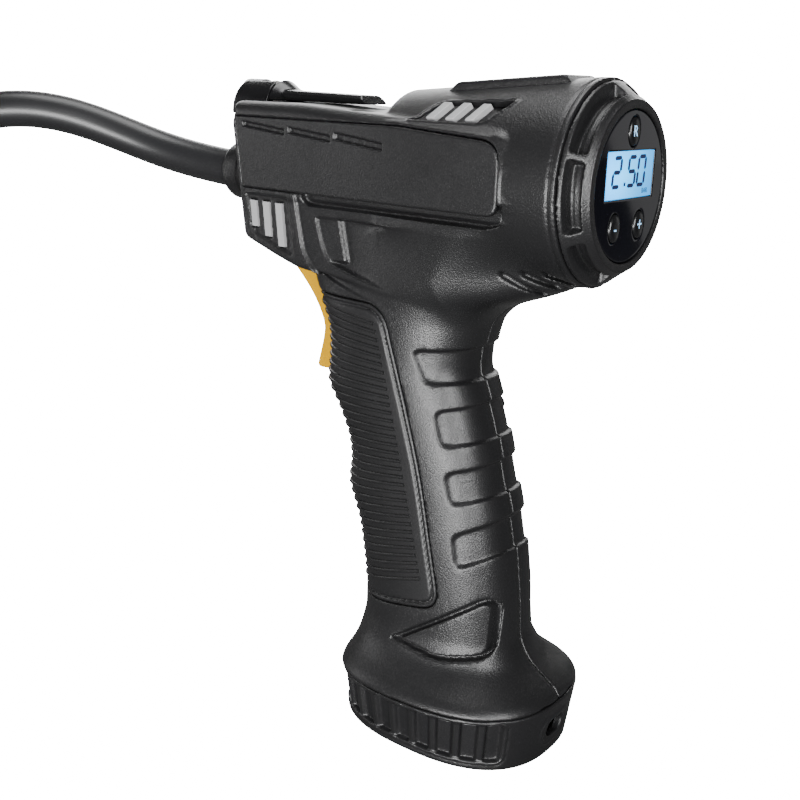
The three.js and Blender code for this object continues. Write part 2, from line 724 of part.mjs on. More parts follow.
function pumpFrame() {
  const outline = new THREE.Shape();
  const front = cylinderRearX + gap;
  const rear = motorX + motor.radius - 1;
  const top = motorZ + 15;
  const bottom = crankZ - 13;
  outline.moveTo(front, bottom + 4);
  outline.lineTo(crankX + 8, bottom);
  outline.lineTo(rear, motorZ - 10);
  outline.lineTo(rear, motorZ + 10);
  outline.lineTo(crankX + 6, top);
  outline.lineTo(front, top - 2);
  const holes = [
    [crankX, crankZ, crank.bearingR + gap],
    [motorX, motorZ, motor.shaftR + motor.neck],
  ];
  for (const [x, z, r] of holes) {
    const hole = new THREE.Path();
    hole.absarc(x, z, r, 0, 2 * Math.PI, true);
    outline.holes.push(hole);
  }
  return extrudedAlongY(outline, plateY[0], plateY[1]);
}
const crankBearing = () =>
  sleeve(crank.shaftR + running, crank.bearingR, plateY[0], plateY[1], alongY, crankCentre, 16);
function crankshaft() {
  const discY = plateY[0] - gap - crank.discWidth;
  const disc = roundBar(crank.discR, discY, discY + crank.discWidth, alongY, crankCentre, 24);
  const shaft = roundBar(crank.shaftR, discY + 1, gearY + gears.width + 1, alongY, crankCentre, 16);
  const pinCentre = [crankX - crank.radius, 0, crankZ];
  const pin = roundBar(crank.pinR, rod.width / 2 + gap, discY + 1, alongY, pinCentre, 12);
  return union(disc, shaft, pin);
}
const pistonCentre = [pistonPinX, 0, crankZ];
function connectingRod() {
  const half = rod.width / 2;
  const bigCentre = [crankX - crank.radius, 0, crankZ];
  const big = roundBar(rod.bigEndR, -half, half, alongY, bigCentre);
  const small = roundBar(rod.smallEndR, -half, half, alongY, pistonCentre, 16);
  const shank = box(
    [pistonPinX, bigCentre[0]],
    [0.6 - half, half - 0.6],
    [crankZ - rod.shank, crankZ + rod.shank],
  );
  const bigBore = roundBar(crank.pinR + gap, -half - 1, half + 1, alongY, bigCentre, 12);
  const smallBore = roundBar(piston.pinR + running, -half - 1, half + 1, alongY, pistonCentre, 12);
  return union(big, small, shank).subtract(bigBore).subtract(smallBore);
}
const pistonR = cylinder.boreR - piston.clearance;
const crownX = pistonPinX - piston.crown;
const bore = [0, 0, crankZ];
function pistonBody() {
  const blank = roundBar(pistonR, crownX, pistonPinX + piston.skirt, alongX, bore);
  const slotHalf = rod.width / 2 + gap;
  const slot = box(
    [pistonPinX - rod.smallEndR - 0.6, pistonPinX + piston.skirt + 1],
    [-slotHalf, slotHalf],
    [crankZ - pistonR, crankZ + pistonR],
  );
  const pinBore = roundBar(piston.pinR + running, -12, 12, alongY, pistonCentre, 12);
  const grooveX = [crownX + 1.2, crownX + 1.6 + piston.sealWidth];
  const sealGroove = sleeve(pistonR - 1.4, pistonR + 1, grooveX[0], grooveX[1], alongX, bore);
  return blank.subtract(slot).subtract(pinBore).subtract(sealGroove);
}
const pistonSeal = () => {
  const start = crownX + 1.4;
  return sleeve(pistonR - 1.1, pistonR + 0.2, start, start + piston.sealWidth, alongX, bore);
};
const pistonPin = () => {
  const half = piston.pinLength / 2;
  return roundBar(piston.pinR, -half, half, alongY, pistonCentre, 12);
};
const headX = crownX - cylinder.headroom;
const cylinderR = cylinder.boreR + cylinder.wall;
const cylinderBarrel = () => sleeve(cylinder.boreR, cylinderR, headX, cylinderRearX, alongX, bore, 24);
const headOutletX = headX - gap - cylinder.headLength - cylinder.spigot;
function cylinderHead() {
  const rear = headX - gap;
  const front = rear - cylinder.headLength;
  const profile = [
    [cylinder.portR, headOutletX],
    [cylinder.spigotR, headOutletX],
    [cylinder.spigotR, front],
    [cylinderR, front],
    [cylinderR, rear],
    [4, rear],
    [4, rear - 3],
    [cylinder.portR, rear - 3],
  ];
  return turned(profile, alongX, bore, 24);
}

// ---------------------------------------------------------------- hose
const hoseCentre = [0, 0, hose.exitZ];
const ferruleRearX = nose.frontX + ferrule.seat;
function hoseFerrule() {
  const inner = hose.radius + gap;
  const profile = [
    [inner, ferrule.frontX],
    [ferruleR - ferrule.chamfer, ferrule.frontX],
    [ferruleR, ferrule.frontX + 3.5],
    [ferruleR, ferruleRearX],
    [inner, ferruleRearX],
  ];
  return turned(profile, alongX, hoseCentre, 28);
}
// A barb nipple joins the pump's air tube to the hose inside the ferrule.
const barbX = ferruleRearX + 1;
const barbEndX = barbX + barb.length;
function hoseBarb() {
  const nipple = sleeve(barb.boreR, cylinder.spigotR, ferrule.frontX + 4, barbEndX, alongX, hoseCentre, 16);
  return nipple.add(sleeve(barb.boreR, hose.radius, barbX, barbX + barb.flange, alongX, hoseCentre, 16));
}

function tubeAlong(curve, radius, steps, sides = 10) {
  const section = new THREE.Shape();
  section.absarc(0, 0, radius, 0, 2 * Math.PI, false);
  const options = { steps, extrudePath: curve, bevelEnabled: false, curveSegments: sides / 2 };
  return solid(new THREE.ExtrudeGeometry(section, options));
}
function airTube() {
  const start = new THREE.Vector3(headOutletX - 2 * gap, 0, crankZ);
  const end = new THREE.Vector3(barbEndX + 2 * gap, 0, hose.exitZ);
  const middle = start.clone().add(end).multiplyScalar(0.5);
  middle.y = 1.5;
  return tubeAlong(new THREE.CatmullRomCurve3([start, middle, end]), 2.2, 5, 8);
}
// The free hose: straight out of the ferrule, up over a low crest, down, and along the floor.
const hoseRoute = [
  [ferrule.frontX - gap, 0, hose.exitZ],
  [-132, -2.5, 185],
  [-153.5, -12, 192.5],
  [-171, -27, 201],
  [-189.5, -44, 202.5],
  [-206.5, -60, 193.5],
  [-219.5, -72.5, 175.5],
  [-226.5, -79.5, 152.5],
  [-229.5, -82.5, 127.5],
  [-232.5, -85.5, 102.5],
  [-236, -88, 78],
  [-241.5, -88.5, 53.5],
  [-252, -86.5, 31.5],
  [-268, -81, 15.5],
  [-288, -74, 8.6],
  [-308, -68, 8.4],
  [-328, -64.5, 8.4],
  [-348, -63.5, 8.4],
  [-368, -63.5, 8.4],
].map(([x, y, z]) => new THREE.Vector3(x, y, z));
const hoseEnd = hoseRoute[hoseRoute.length - 1];
const airHose = () => tubeAlong(new THREE.CatmullRomCurve3(hoseRoute), hose.radius, 30);

// The valve chuck at the hose's far end lies with its mouth towards -X.
const chuckX = hoseEnd.x - gap;
const chuckCentre = [0, hoseEnd.y, hoseEnd.z];
const fromChuck = (profile) => profile.map(([r, s]) => [r, chuckX - s]);
function valveChuck() {
  const profile = [
    [1.5, 0],
    [5.2, 0],
    [5.2, 8],
    [6.8, 9.5],
    [6.8, 24],
    [5.8, 25.5],
    [3.9, 25.5],
    [3.9, 14],
    [1.5, 14],
  ];
  return turned(fromChuck(profile), alongX, chuckCentre);
}
const chuckSeal = () => sleeve(2, 3.6, chuckX - 17.6, chuckX - 14.4, alongX, chuckCentre, 16);

// ---------------------------------------------------------------- trigger mechanism
const triggerCentre = [trigger.pivotX, 0, trigger.pivotZ];
const triggerPiece = () =>
  triggerBlade(0, trigger.halfWidth).subtract(
    roundBar(trigger.pinR + running, -20, 20, alongY, triggerCentre, 16),
  );
const triggerPin = () => roundBar(trigger.pinR, -10.5, 10.5, alongY, triggerCentre, 16);
const bladeRearX = -48.5;
const switchBody = { frontX: -45.2, length: 6.5, halfWidth: 5, bottom: 120, top: 133 };
const triggerSwitch = () =>
  box(
    [switchBody.frontX, switchBody.frontX + switchBody.length],
    [-switchBody.halfWidth, switchBody.halfWidth],
    [switchBody.bottom, switchBody.top],
  );
const spring = { turns: 4, radius: 2.2, wireR: 0.4, z: 141 };
function triggerSpring() {
  const start = bladeRearX + 1.2;
  const length = switchBody.frontX + switchBody.length - start;
  class Helix extends THREE.Curve {
    getPoint(t) {
      const angle = 2 * Math.PI * spring.turns * t;
      const y = spring.radius * Math.cos(angle);
      return new THREE.Vector3(start + length * t, y, spring.z + spring.radius * Math.sin(angle));
    }
  }
  return tubeAlong(new Helix(), spring.wireR, spring.turns * 8, 6);
}

// ---------------------------------------------------------------- electronics and battery
const mainBoard = () => box([-38, -8], [9, 9 + board.thickness], [102, 146]);
const pressureSensor = () => roundBar(3.5, 4.5, 9 - gap, alongY, [-16, 0, 136], 16);
const chargeJack = () => {
  const rear = baseLength - port.setBack;
  const inside = 0.5;
  return box(
    [rear - port.jackDepth, rear],
    [inside - port.halfWidth, port.halfWidth - inside],
    [port.z - port.halfHeight + inside, port.z + port.halfHeight - inside],
  );
};
function batteryCell() {
  const { radius, length, nippleR, nipple } = cell;
  const profile = [
    [0, 0],
    [radius, 0],
    [radius, length - 1],
    [radius - 1, length],
    [nippleR, length],
    [nippleR, length + nipple],
    [0, length + nipple],
  ];
  return geometryOf(turned(profile, alongZ, [0, 0, 0]));
}
// The trays clasp both cells at their ends.
function batteryTray(z) {
  const half = 2 * cell.radius + gap;
  const shape = roundedShape(-half, half, -cell.radius, cell.radius, cell.radius * 0.9);
  const geometry = extruded(shape, cell.tray, 5);
  geometry.translate(0, 0, z);
  return geometry;
}

// ---------------------------------------------------------------- screws
// Flat-headed screws drive in from the right shell. Each place is [x, z].
const screwPlaces = [
  [-50, 169.5],
  [-14, 158],
  [30, 168],
  [28, 210],
  [1, 112],
  [-27, 27],
];
function casingScrew() {
  const { headR, headLength, shankR, length } = screwSize;
  const head = roundBar(headR, -headLength, 0, alongY, [0, 0, 0], 12);
  return geometryOf(head.add(roundBar(shankR, -length, -headLength / 2, alongY, [0, 0, 0], 8)));
}

// ---------------------------------------------------------------- scene graph
const inflator = new THREE.Group();

function group(name) {
  const made = new THREE.Group();
  made.name = name;
  inflator.add(made);
  return made;
}

function place(parent, name, shape, material) {
  const mesh = new THREE.Mesh(shape.isBufferGeometry ? shape : geometryOf(shape), material);
  mesh.name = name;
  parent.add(mesh);
  return mesh;
}

// Casing
const casingGroup = group("casing");
const wholeCasing = casing();

// How far out the right side of the casing lies at [x, z].
function surfaceY(x, z) {
  const probe = box([x - 1, x + 1], [0, 60], [z - 1, z + 1]).intersect(outerForm);
  return probe.boundingBox().max[1];
}
let rightShell = wholeCasing.intersect(halfSpace(1));
const screwSeats = screwPlaces.map(([x, z]) => [x, surfaceY(x, z) - screwSize.sink, z]);
for (const [x, y, z] of screwSeats) {
  const { headR, headLength, shankR, bossWall } = screwSize;
  const seat = roundBar(headR + gap, y - headLength, y + 12, alongY, [x, 0, z], 12);
  const boss = roundBar(headR + bossWall, gap / 2, y + 0.4, alongY, [x, 0, z], 12).intersect(outerForm);
  const way = roundBar(shankR + gap, y - 40, y + 1, alongY, [x, 0, z], 8);
  rightShell = rightShell.add(boss).subtract(seat).subtract(way);
}
place(casingGroup, "shell_left", wholeCasing.intersect(halfSpace(-1)), blackShell);
place(casingGroup, "shell_right", rightShell, blackShell);
const gripInsert = insertRegion(0)
  .intersect(gripBody(0))
  .subtract(gripBody(insert.thickness))
  .subtract(triggerSlot())
  .subtract(box([-80, -40], [-slotHalfWidth, slotHalfWidth], [114, 160]));
place(casingGroup, "grip_insert", gripInsert, blackRubber);
place(casingGroup, "top_rail", topRail(), blackGloss);
place(casingGroup, "top_pad", topPad(), blackShell);
place(casingGroup, "base_cap", baseCap(), blackShell);
for (const [label, side] of [["left", -1], ["right", 1]]) {
  const sidePanel = sidePlate(side, panelOutline(0), panel.proud, panel.thickness);
  place(casingGroup, `side_panel_${label}`, sidePanel, blackShell);
  place(casingGroup, `upper_vent_${label}`, upperVent(side, 0, ventFacet.depth), greyTrim);
  place(casingGroup, `nose_vent_${label}`, noseVent(side), greyTrim);
}
const screwShape = casingScrew();
screwSeats.forEach(([x, y, z], i) => {
  const screw = place(casingGroup, `casing_screw_${i + 1}`, screwShape, steel);
  screw.position.set(x, y, z);
});

// Display
const displayGroup = group("display");
place(displayGroup, "rear_bezel", rearBezel(), blackShell);
place(displayGroup, "display_lens", displayLens(), smokedGlass);
place(displayGroup, "lcd_panel", lcdPanel(), litScreen);
place(displayGroup, "display_board", displayBoard(), boardGreen);
const buttonSolid = geometryOf(extrudedAlongX(buttonShape(0), -button.length, 0));
for (const [name, y, z] of buttonPlaces) {
  const made = place(displayGroup, name, buttonSolid, blackGloss);
  made.position.set(glassFaceX + button.proud, y, z);
}

// Lamp
const lampGroup = group("lamp");
place(lampGroup, "lamp_housing", lampHousing(), blackGloss);
place(lampGroup, "lamp_lens", lampDisc(lamp.lensR, 0.6, 2.2), whitePlastic);
place(lampGroup, "lamp_reflector", lampReflector(), aluminium);
place(lampGroup, "lamp_board", lampDisc(lamp.lensR - 0.4, 12, 13.6), whitePlastic);

// Pump
const pump = group("pump");
place(pump, "motor_can", motorCan(), steel);
place(pump, "motor_end_bell", motorEndBell(), whitePlastic);
place(pump, "motor_rotor", motorRotor(), copper);
const pinionShape = gearBlank(gears.pinionTeeth, motor.shaftR + running, meshAngle + Math.PI);
place(pump, "drive_pinion", pinionShape, brass).position.set(motorX, gearY, motorZ);
const crankGearShape = gearBlank(crankTeeth, crank.shaftR + running, meshAngle + Math.PI / crankTeeth);
place(pump, "crank_gear", crankGearShape, whitePlastic).position.set(crankX, gearY, crankZ);
place(pump, "pump_frame", pumpFrame(), aluminium);
place(pump, "crank_bearing", crankBearing(), steel);
place(pump, "crankshaft", crankshaft(), steel);
place(pump, "connecting_rod", connectingRod(), whitePlastic);
place(pump, "piston", pistonBody(), whitePlastic);
place(pump, "piston_seal", pistonSeal(), blackRubber);
place(pump, "piston_pin", pistonPin(), steel);
place(pump, "cylinder_barrel", cylinderBarrel(), aluminium);
place(pump, "cylinder_head", cylinderHead(), aluminium);
place(pump, "air_tube", airTube(), blackRubber);

// Trigger
const triggerGroup = group("trigger_parts");
place(triggerGroup, "trigger", triggerPiece(), yellow);
place(triggerGroup, "trigger_pin", triggerPin(), steel);
place(triggerGroup, "trigger_spring", triggerSpring(), steel);
place(triggerGroup, "trigger_switch", triggerSwitch(), blackShell);

// Battery and boards
const battery = group("battery");
battery.position.set(cell.baseX, 0, cell.baseZ);
battery.rotation.y = -cell.lean;
const cellShape = batteryCell();
for (const [name, side] of [["battery_cell_front", -1], ["battery_cell_rear", 1]]) {
  const made = place(battery, name, cellShape, cellWrap);
  made.position.set(side * (cell.radius + gap / 2), 0, 0);
}
place(battery, "battery_tray_lower", batteryTray(-gap - cell.tray), blackShell);
place(battery, "battery_tray_upper", batteryTray(cell.length + cell.nipple + gap), blackShell);
const boards = group("boards");
place(boards, "main_board", mainBoard(), boardGreen);
place(boards, "pressure_sensor", pressureSensor(), steel);
place(boards, "charge_jack", chargeJack(), aluminium);

// Hose
const hoseGroup = group("hose");
place(hoseGroup, "hose_ferrule", hoseFerrule(), blackShell);
place(hoseGroup, "hose_barb", hoseBarb(), brass);
place(hoseGroup, "air_hose", airHose(), blackRubber);
place(hoseGroup, "valve_chuck", valveChuck(), brass);
place(hoseGroup, "chuck_seal", chuckSeal(), blackRubber);

export default inflator;
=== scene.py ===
"""A cordless pistol-grip tyre inflator: moulded casing, ribbed grip insert, display, lamp and hose."""

import json
import math

import bmesh
import bpy
import numpy as np
from mathutils import Matrix, Vector


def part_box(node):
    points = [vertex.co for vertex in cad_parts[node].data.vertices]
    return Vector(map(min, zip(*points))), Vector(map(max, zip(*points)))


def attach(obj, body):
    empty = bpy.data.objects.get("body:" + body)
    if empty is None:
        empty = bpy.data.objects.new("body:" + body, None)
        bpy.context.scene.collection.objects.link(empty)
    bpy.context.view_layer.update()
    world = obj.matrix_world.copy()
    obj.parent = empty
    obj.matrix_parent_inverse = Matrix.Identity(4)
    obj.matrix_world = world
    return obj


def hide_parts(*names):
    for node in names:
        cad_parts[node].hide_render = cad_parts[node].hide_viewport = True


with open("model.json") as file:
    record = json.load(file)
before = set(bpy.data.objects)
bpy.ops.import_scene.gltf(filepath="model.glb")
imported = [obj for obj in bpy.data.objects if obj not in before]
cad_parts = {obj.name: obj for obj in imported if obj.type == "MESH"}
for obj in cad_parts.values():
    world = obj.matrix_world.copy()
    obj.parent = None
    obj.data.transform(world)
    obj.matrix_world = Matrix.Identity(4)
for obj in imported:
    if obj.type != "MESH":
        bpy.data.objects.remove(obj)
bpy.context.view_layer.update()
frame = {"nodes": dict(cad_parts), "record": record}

bl_info = {
    "name": "Tyre inflator",
    "version": (1, 0, 0),
    "blender": (4, 5, 0),
    "location": "3D View > Sidebar > Inflator",
    "description": "Builds the moulded shapes, finishes and stage of a cordless tyre inflator",
    "category": "Object",
}

MM = 0.001

# Sizes of the form, in millimetres: the frame's own, +X to the display, left is -Y.
GAP = 0.3
WALL = 2.6
AXIS_Z = 189
BARREL = [(-60, 14), (-40, 14), (-25, 24.8), (39.2, 30.2), (60, 30.2)]
BARREL_FRONT, BARREL_REAR = -40, 42.2
NOSE_FRONT, NOSE_SLOPE, NOSE_HALF, NOSE_FLARE = -92, 0.163, 19.4, 0.068
NECK_HALF = 21
SQUARENESS = 2.6
RIM_HEIGHT, RIM_TILT = 18.5, 0.045
RIM_LENGTH, RIM_WIDTH = 41, 33.5
# The grip from its neck down to the flared rim: height, front, rear and half width.
STATIONS = [
    (171, -64, 30, 21),
    (158, -64, 32, 20.8),
    (153.5, -63, 25.5, 20.8),
    (149.5, -61, 13, 20.8),
    (143.5, -57.6, 7, 20.8),
    (136, -53.6, 4.8, 21),
    (127, -53, 4, 21),
    (116, -54.4, 8.5, 21),
    (109, -49.3, 11, 21),
    (99, -44, 13.6, 21),
    (91, -42.6, 15.6, 21),
    (82, -44, 18.4, 21),
    (69, -38.4, 21, 21),
    (52, -35.2, 23.4, 21),
    (37, -34.8, 24.6, 21.4),
    (30, -36.4, 28.5, 23.5),
    (25, -38.2, 35, 27.8),
    (20.5, -RIM_LENGTH, RIM_LENGTH, RIM_WIDTH),
]
NOSE_OUTLINE = [
    (-92, 208, 3.5),
    (-84.6, 162.4, 2.5),
    (-60, 154.8, 2),
    (-20, 150, 0),
    (0, 150, 0),
    (25, 176, 2),
    (25, 203.6, 5),
    (-60, 208, 2),
]
INSERT_OUTLINE = [
    (-80, 147, 0),
    (-22.5, 147, 8),
    (-5.5, 95.3, 12),
    (4.6, 49, 7),
    (-24.5, 43.5, 8),
    (-80, 43.5, 0),
]
TRIGGER_HALF, TRIGGER_PIN = 5.6, (-58, 161)
TRIGGER_OUTLINE = [
    (-75.5, 153.6, 0.8),
    (-65.4, 143.6, 9),
    (-59.9, 134, 8),
    (-60, 129, 8),
    (-63.2, 116.8, 2.4),
    (-52.5, 117.2, 1.5),
    (-48.5, 131, 2),
    (-50, 146, 2),
    (-54, 161, 1),
    (-56, 165, 1),
    (-61, 165, 1),
    (-64, 159, 1),
]
PANEL_OUTLINE = [
    (-89, 203, 1),
    (-85.2, 179.5, 1),
    (22.6, 179.5, 4.5),
    (22.6, 200.3, 7),
    (-16, 203, 2),
]
HOSE_EXIT_Z, FERRULE_RADIUS = 183, 10.3
GLASS_RADIUS = 21.9
# The hose's route from its ferrule to the floor and along it.
HOSE_ROUTE = [
    (-107.5, 0, 183),
    (-132, -2.5, 185),
    (-153.5, -12, 192.5),
    (-171, -27, 201),
    (-189.5, -44, 202.5),
    (-206.5, -60, 193.5),
    (-219.5, -72.5, 175.5),
    (-226.5, -79.5, 152.5),
    (-229.5, -82.5, 127.5),
    (-232.5, -85.5, 102.5),
    (-236, -88, 78),
    (-241.5, -88.5, 53.5),
    (-252, -86.5, 31.5),
    (-268, -81, 15.5),
    (-288, -74, 8.6),
    (-308, -68, 8.4),
    (-328, -64.5, 8.4),
    (-348, -63.5, 8.4),
    (-368, -63.5, 8.4),
]


# ---------------------------------------------------------------- distance fields
def smoothstep(t):
    t = np.clip(t, 0, 1)
    return t * t * (3 - 2 * t)


def ramp(distance, width):
    """1 inside an outline, 0 outside it, over a slope of that width."""
    return smoothstep(0.5 - distance / width)


def smooth_min(a, b, width):
    """The union of two forms, with a fillet about that wide."""
    share = np.clip(0.5 + 0.5 * (b - a) / width, 0, 1)
    return b + (a - b) * share - width * share * (1 - share)


def rounded_max(a, b, radius):
    """The part common to two forms, with its edge rounded."""
    u, v = np.maximum(a + radius, 0), np.maximum(b + radius, 0)
    return np.minimum(np.maximum(a, b), -radius) + np.sqrt(u * u + v * v)


def rounded_path(corners, steps=6):
    """The points of a closed outline whose corners (x, z, radius) are rounded."""
    points = []
    for i, (x, z, radius) in enumerate(corners):
        here = np.array([x, z], float)
        if radius <= 0:
            points.append(here)
            continue
        ends = []
        for other in (corners[i - 1], corners[(i + 1) % len(corners)]):
            way = np.array(other[:2], float) - here
            length = np.hypot(*way)
            ends.append(here + way * min(radius / length, 0.48))
        for t in np.linspace(0, 1, steps):
            points.append((1 - t) ** 2 * ends[0] + 2 * t * (1 - t) * here + t * t * ends[1])
    return np.array(points)


def outline_distance(corners, x, z):
    """Signed distance in the plane from each (x, z) to a closed outline."""
    path = rounded_path(corners)
    x, z = np.broadcast_arrays(x, z)
    nearest = np.full(x.shape, 1e9, np.float32)
    inside = np.zeros(x.shape, bool)
    for (x0, z0), (x1, z1) in zip(path, np.roll(path, -1, 0)):
        dx, dz = x1 - x0, z1 - z0
        t = np.clip(((x - x0) * dx + (z - z0) * dz) / max(dx * dx + dz * dz, 1e-9), 0, 1)
        nearest = np.minimum(nearest, (x - x0 - t * dx) ** 2 + (z - z0 - t * dz) ** 2)
        if z0 != z1:
            crosses = ((z0 > z) != (z1 > z)) & (x < dx * (z - z0) / dz + x0)
            inside ^= crosses
    return np.where(inside, -1, 1) * np.sqrt(nearest)


def line_distance(points, x, z):
    """Distance in the plane to an open line."""
    nearest = np.full(np.broadcast_shapes(np.shape(x), np.shape(z)), 1e9, np.float32)
    for (x0, z0), (x1, z1) in zip(points[:-1], points[1:]):
        dx, dz = x1 - x0, z1 - z0
        t = np.clip(((x - x0) * dx + (z - z0) * dz) / (dx * dx + dz * dz), 0, 1)
        nearest = np.minimum(nearest, (x - x0 - t * dx) ** 2 + (z - z0 - t * dz) ** 2)
    return np.sqrt(nearest)


def grid(low, high, step):
    """Open coordinate arrays of a regular grid, in millimetres."""
    axes = [np.arange(a, b + step, step, dtype=np.float32) for a, b in zip(low, high)]
    return np.ix_(*axes)


def surface_net(value, axes, step):
    """The vertices and quads of the surface where a field changes sign."""
    inside = value < 0
    cells = tuple(n - 1 for n in value.shape)
    corners = [(i, j, k) for i in (0, 1) for j in (0, 1) for k in (0, 1)]

    def corner(array, c):
        return array[tuple(slice(o, o + n) for o, n in zip(c, cells))]

    count = sum(corner(inside, c).astype(np.int8) for c in corners)
    mixed = (count > 0) & (count < 8)
    places = np.argwhere(mixed)
    number = np.full(cells, -1, np.int32)
    number[mixed] = np.arange(len(places))
    total = np.zeros((len(places), 3))
    hits = np.zeros(len(places))
    for a in corners:
        for axis in range(3):
            if a[axis]:
                continue
            b = tuple(o + (n == axis) for n, o in enumerate(a))
            va = value[tuple((places + a).T)].astype(float)
            vb = value[tuple((places + b).T)].astype(float)
            cross = (va < 0) != (vb < 0)
            share = np.where(cross, va / np.where(cross, va - vb, 1), 0)
            point = np.tile(np.array(a, float), (len(places), 1))
            point[:, axis] += share
            total += point * cross[:, None]
            hits += cross
    low = np.array([axis.ravel()[0] for axis in axes], float)
    vertices = low + step * (places + total / hits[:, None])
    quads = []
    for axis in range(3):
        b, c = (axis + 1) % 3, (axis + 2) % 3
        first = [slice(None)] * 3
        second = [slice(None)] * 3
        first[axis], second[axis] = slice(0, -1), slice(1, None)
        changes = inside[tuple(first)] != inside[tuple(second)]
        at = np.argwhere(changes)
        at = at[(at[:, b] > 0) & (at[:, c] > 0) & (at[:, b] < cells[b]) & (at[:, c] < cells[c])]
        ring = []
        for ob, oc in ((-1, -1), (0, -1), (0, 0), (-1, 0)):
            cell = at.copy()
            cell[:, b] += ob
            cell[:, c] += oc
            ring.append(number[tuple(cell.T)])
        quad = np.stack(ring, 1)
        leaves = inside[tuple(at.T)]
        quads.append(np.where(leaves[:, None], quad, quad[:, ::-1]))
    return vertices, np.concatenate(quads)


def mesh_of(name, vertices, faces):
    """A mesh from arrays in millimetres, faces all of the same number of corners, in metres."""
    mesh = bpy.data.meshes.new(name)
    faces = np.asarray(faces, np.int32)
    mesh.vertices.add(len(vertices))
    mesh.vertices.foreach_set("co", (np.asarray(vertices, float) * MM).ravel())
    mesh.loops.add(faces.size)
    mesh.loops.foreach_set("vertex_index", faces.ravel())
    mesh.polygons.add(len(faces))
    mesh.polygons.foreach_set("loop_start", np.arange(0, faces.size, faces.shape[1], dtype=np.int32))
    mesh.update(calc_edges=True)
    mesh.validate()
    mesh.shade_smooth()
    return mesh


def make_object(name, mesh, *materials):
    piece = bpy.data.objects.new(name, mesh)
    bpy.context.scene.collection.objects.link(piece)
    for material in materials:
        piece.data.materials.append(material)
    return piece


def baked(piece, name=None):
    """The piece with its modifiers applied, as a plain mesh of its own."""
    depsgraph = bpy.context.evaluated_depsgraph_get()
    mesh = bpy.data.meshes.new_from_object(piece.evaluated_get(depsgraph))
    mesh.name = name or piece.name
    piece.modifiers.clear()
    piece.data = mesh
    return piece


def thinned(piece, triangles):
    """The piece with no more than about that many triangles."""
    piece.data.calc_loop_triangles()
    now = len(piece.data.loop_triangles)
    if now > triangles:
        thin = piece.modifiers.new("thin", "DECIMATE")
        thin.ratio = triangles / now
        baked(piece)
        piece.data.shade_smooth()
    return piece


def moulded(name, value, axes, step, material, triangles=180000, mirrored=False):
    """A piece from a field, optionally mirrored in the plane Y = 0."""
    vertices, quads = surface_net(value, axes, step)
    if mirrored:
        vertices = vertices * [1, -1, 1]
        quads = quads[:, ::-1]
    return thinned(make_object(name, mesh_of(name, vertices, quads), material), triangles)


def on_casing(piece, slot, *nodes, body="casing"):
    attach(piece, body)
    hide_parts(*nodes)
    return piece


# ---------------------------------------------------------------- the form
def rim_height(x):
    return RIM_HEIGHT + RIM_TILT * x


def side_of(x):
    return NOSE_HALF + NOSE_FLARE * (x - NOSE_FRONT)


def grip_section(height):
    """The grip's front, rear and half width at each height, smoothed along the grip."""
    table = np.array(sorted(STATIONS))
    fine = np.arange(5, 185, 0.25)
    spread = np.arange(-24, 25) * 0.25
    weights = np.exp(-((spread / 1.7) ** 2) / 2)
    weights /= weights.sum()
    found = []
    for column in (1, 2, 3):
        line = np.interp(fine, table[:, 0], table[:, column])
        padded = np.pad(line, len(spread) // 2, mode="edge")
        found.append(np.interp(height, fine, np.convolve(padded, weights, "valid")))
    return found


def grip_form(x, y, z, step):
    """Distance to the grip's body, down to its flared rim."""
    lower = 1 - smoothstep((z - 22) / 15)
    front, rear, half = grip_section(z - RIM_TILT * x * lower)
    centre, reach = (front + rear) / 2, (rear - front) / 2
    n = SQUARENESS
    along = (np.abs(x - centre) / reach).astype(np.float32) ** n
    across = (np.abs(y) / half).astype(np.float32) ** n
    level = (along + across) ** (1 / n) - 1
    slopes = np.gradient(level, step)
    steepness = np.sqrt(sum(s * s for s in slopes))
    body = level / np.maximum(steepness, 0.012)
    return np.maximum(body, z - 171)


def barrel_radius(x):
    return np.interp(x, *np.array(BARREL).T)


def barrel_form(x, y, z):
    radius = barrel_radius(x)
    cosine = np.where(x < -25, 0.811, 0.996)
    side = (np.sqrt(y * y + (z - AXIS_Z) ** 2) - radius) * cosine
    return rounded_max(side, BARREL_FRONT - x, 1.2)


def nose_form(x, y, z):
    wide = side_of(x)
    narrow = np.minimum(wide, NECK_HALF)
    half = narrow + (wide - narrow) * smoothstep((z - 176) / 2)
    rear_foot = smoothstep((x + 22) / 30) * (1 - smoothstep((z - 172) / 5))
    radius = 1.5 + 3 * smoothstep((z - 200) / 5) + 11 * rear_foot
    return rounded_max(np.abs(y) - half, outline_distance(NOSE_OUTLINE, x, z), radius)


def body_form(x, y, z, step):
    whole = smooth_min(grip_form(x, y, z, step), barrel_form(x, y, z), 9)
    fillet = 1.2 + 7 * smoothstep((x + 22) / 30) * (1 - smoothstep((z - 172) / 5))
    return smooth_min(whole, nose_form(x, y, z), fillet)


def notch_outlines():
    """The four recesses that run round the back of the grip."""
    sides = [
        ((-10.8, 134.1), (-6, 123.5), (4.7, 135), (6.6, 124.3)),
        ((-2.5, 115), (1.2, 103.8), (9, 117.2), (13.3, 106.1)),
        ((2.8, 95.4), (5.7, 85.2), (15, 98.5), (18.4, 88.5)),
        ((7, 75.2), (9.2, 64.3), (19.4, 80.6), (22.1, 70.2)),
    ]
    for top, bottom, top_back, bottom_back in sides:
        over = [t + 2 * (b - t) for t, b in zip(top, top_back)]
        under = [t + 2 * (b - t) for t, b in zip(bottom, bottom_back)]
        yield [(*top, 3), (*over, 0), (*under, 0), (*bottom, 3)]


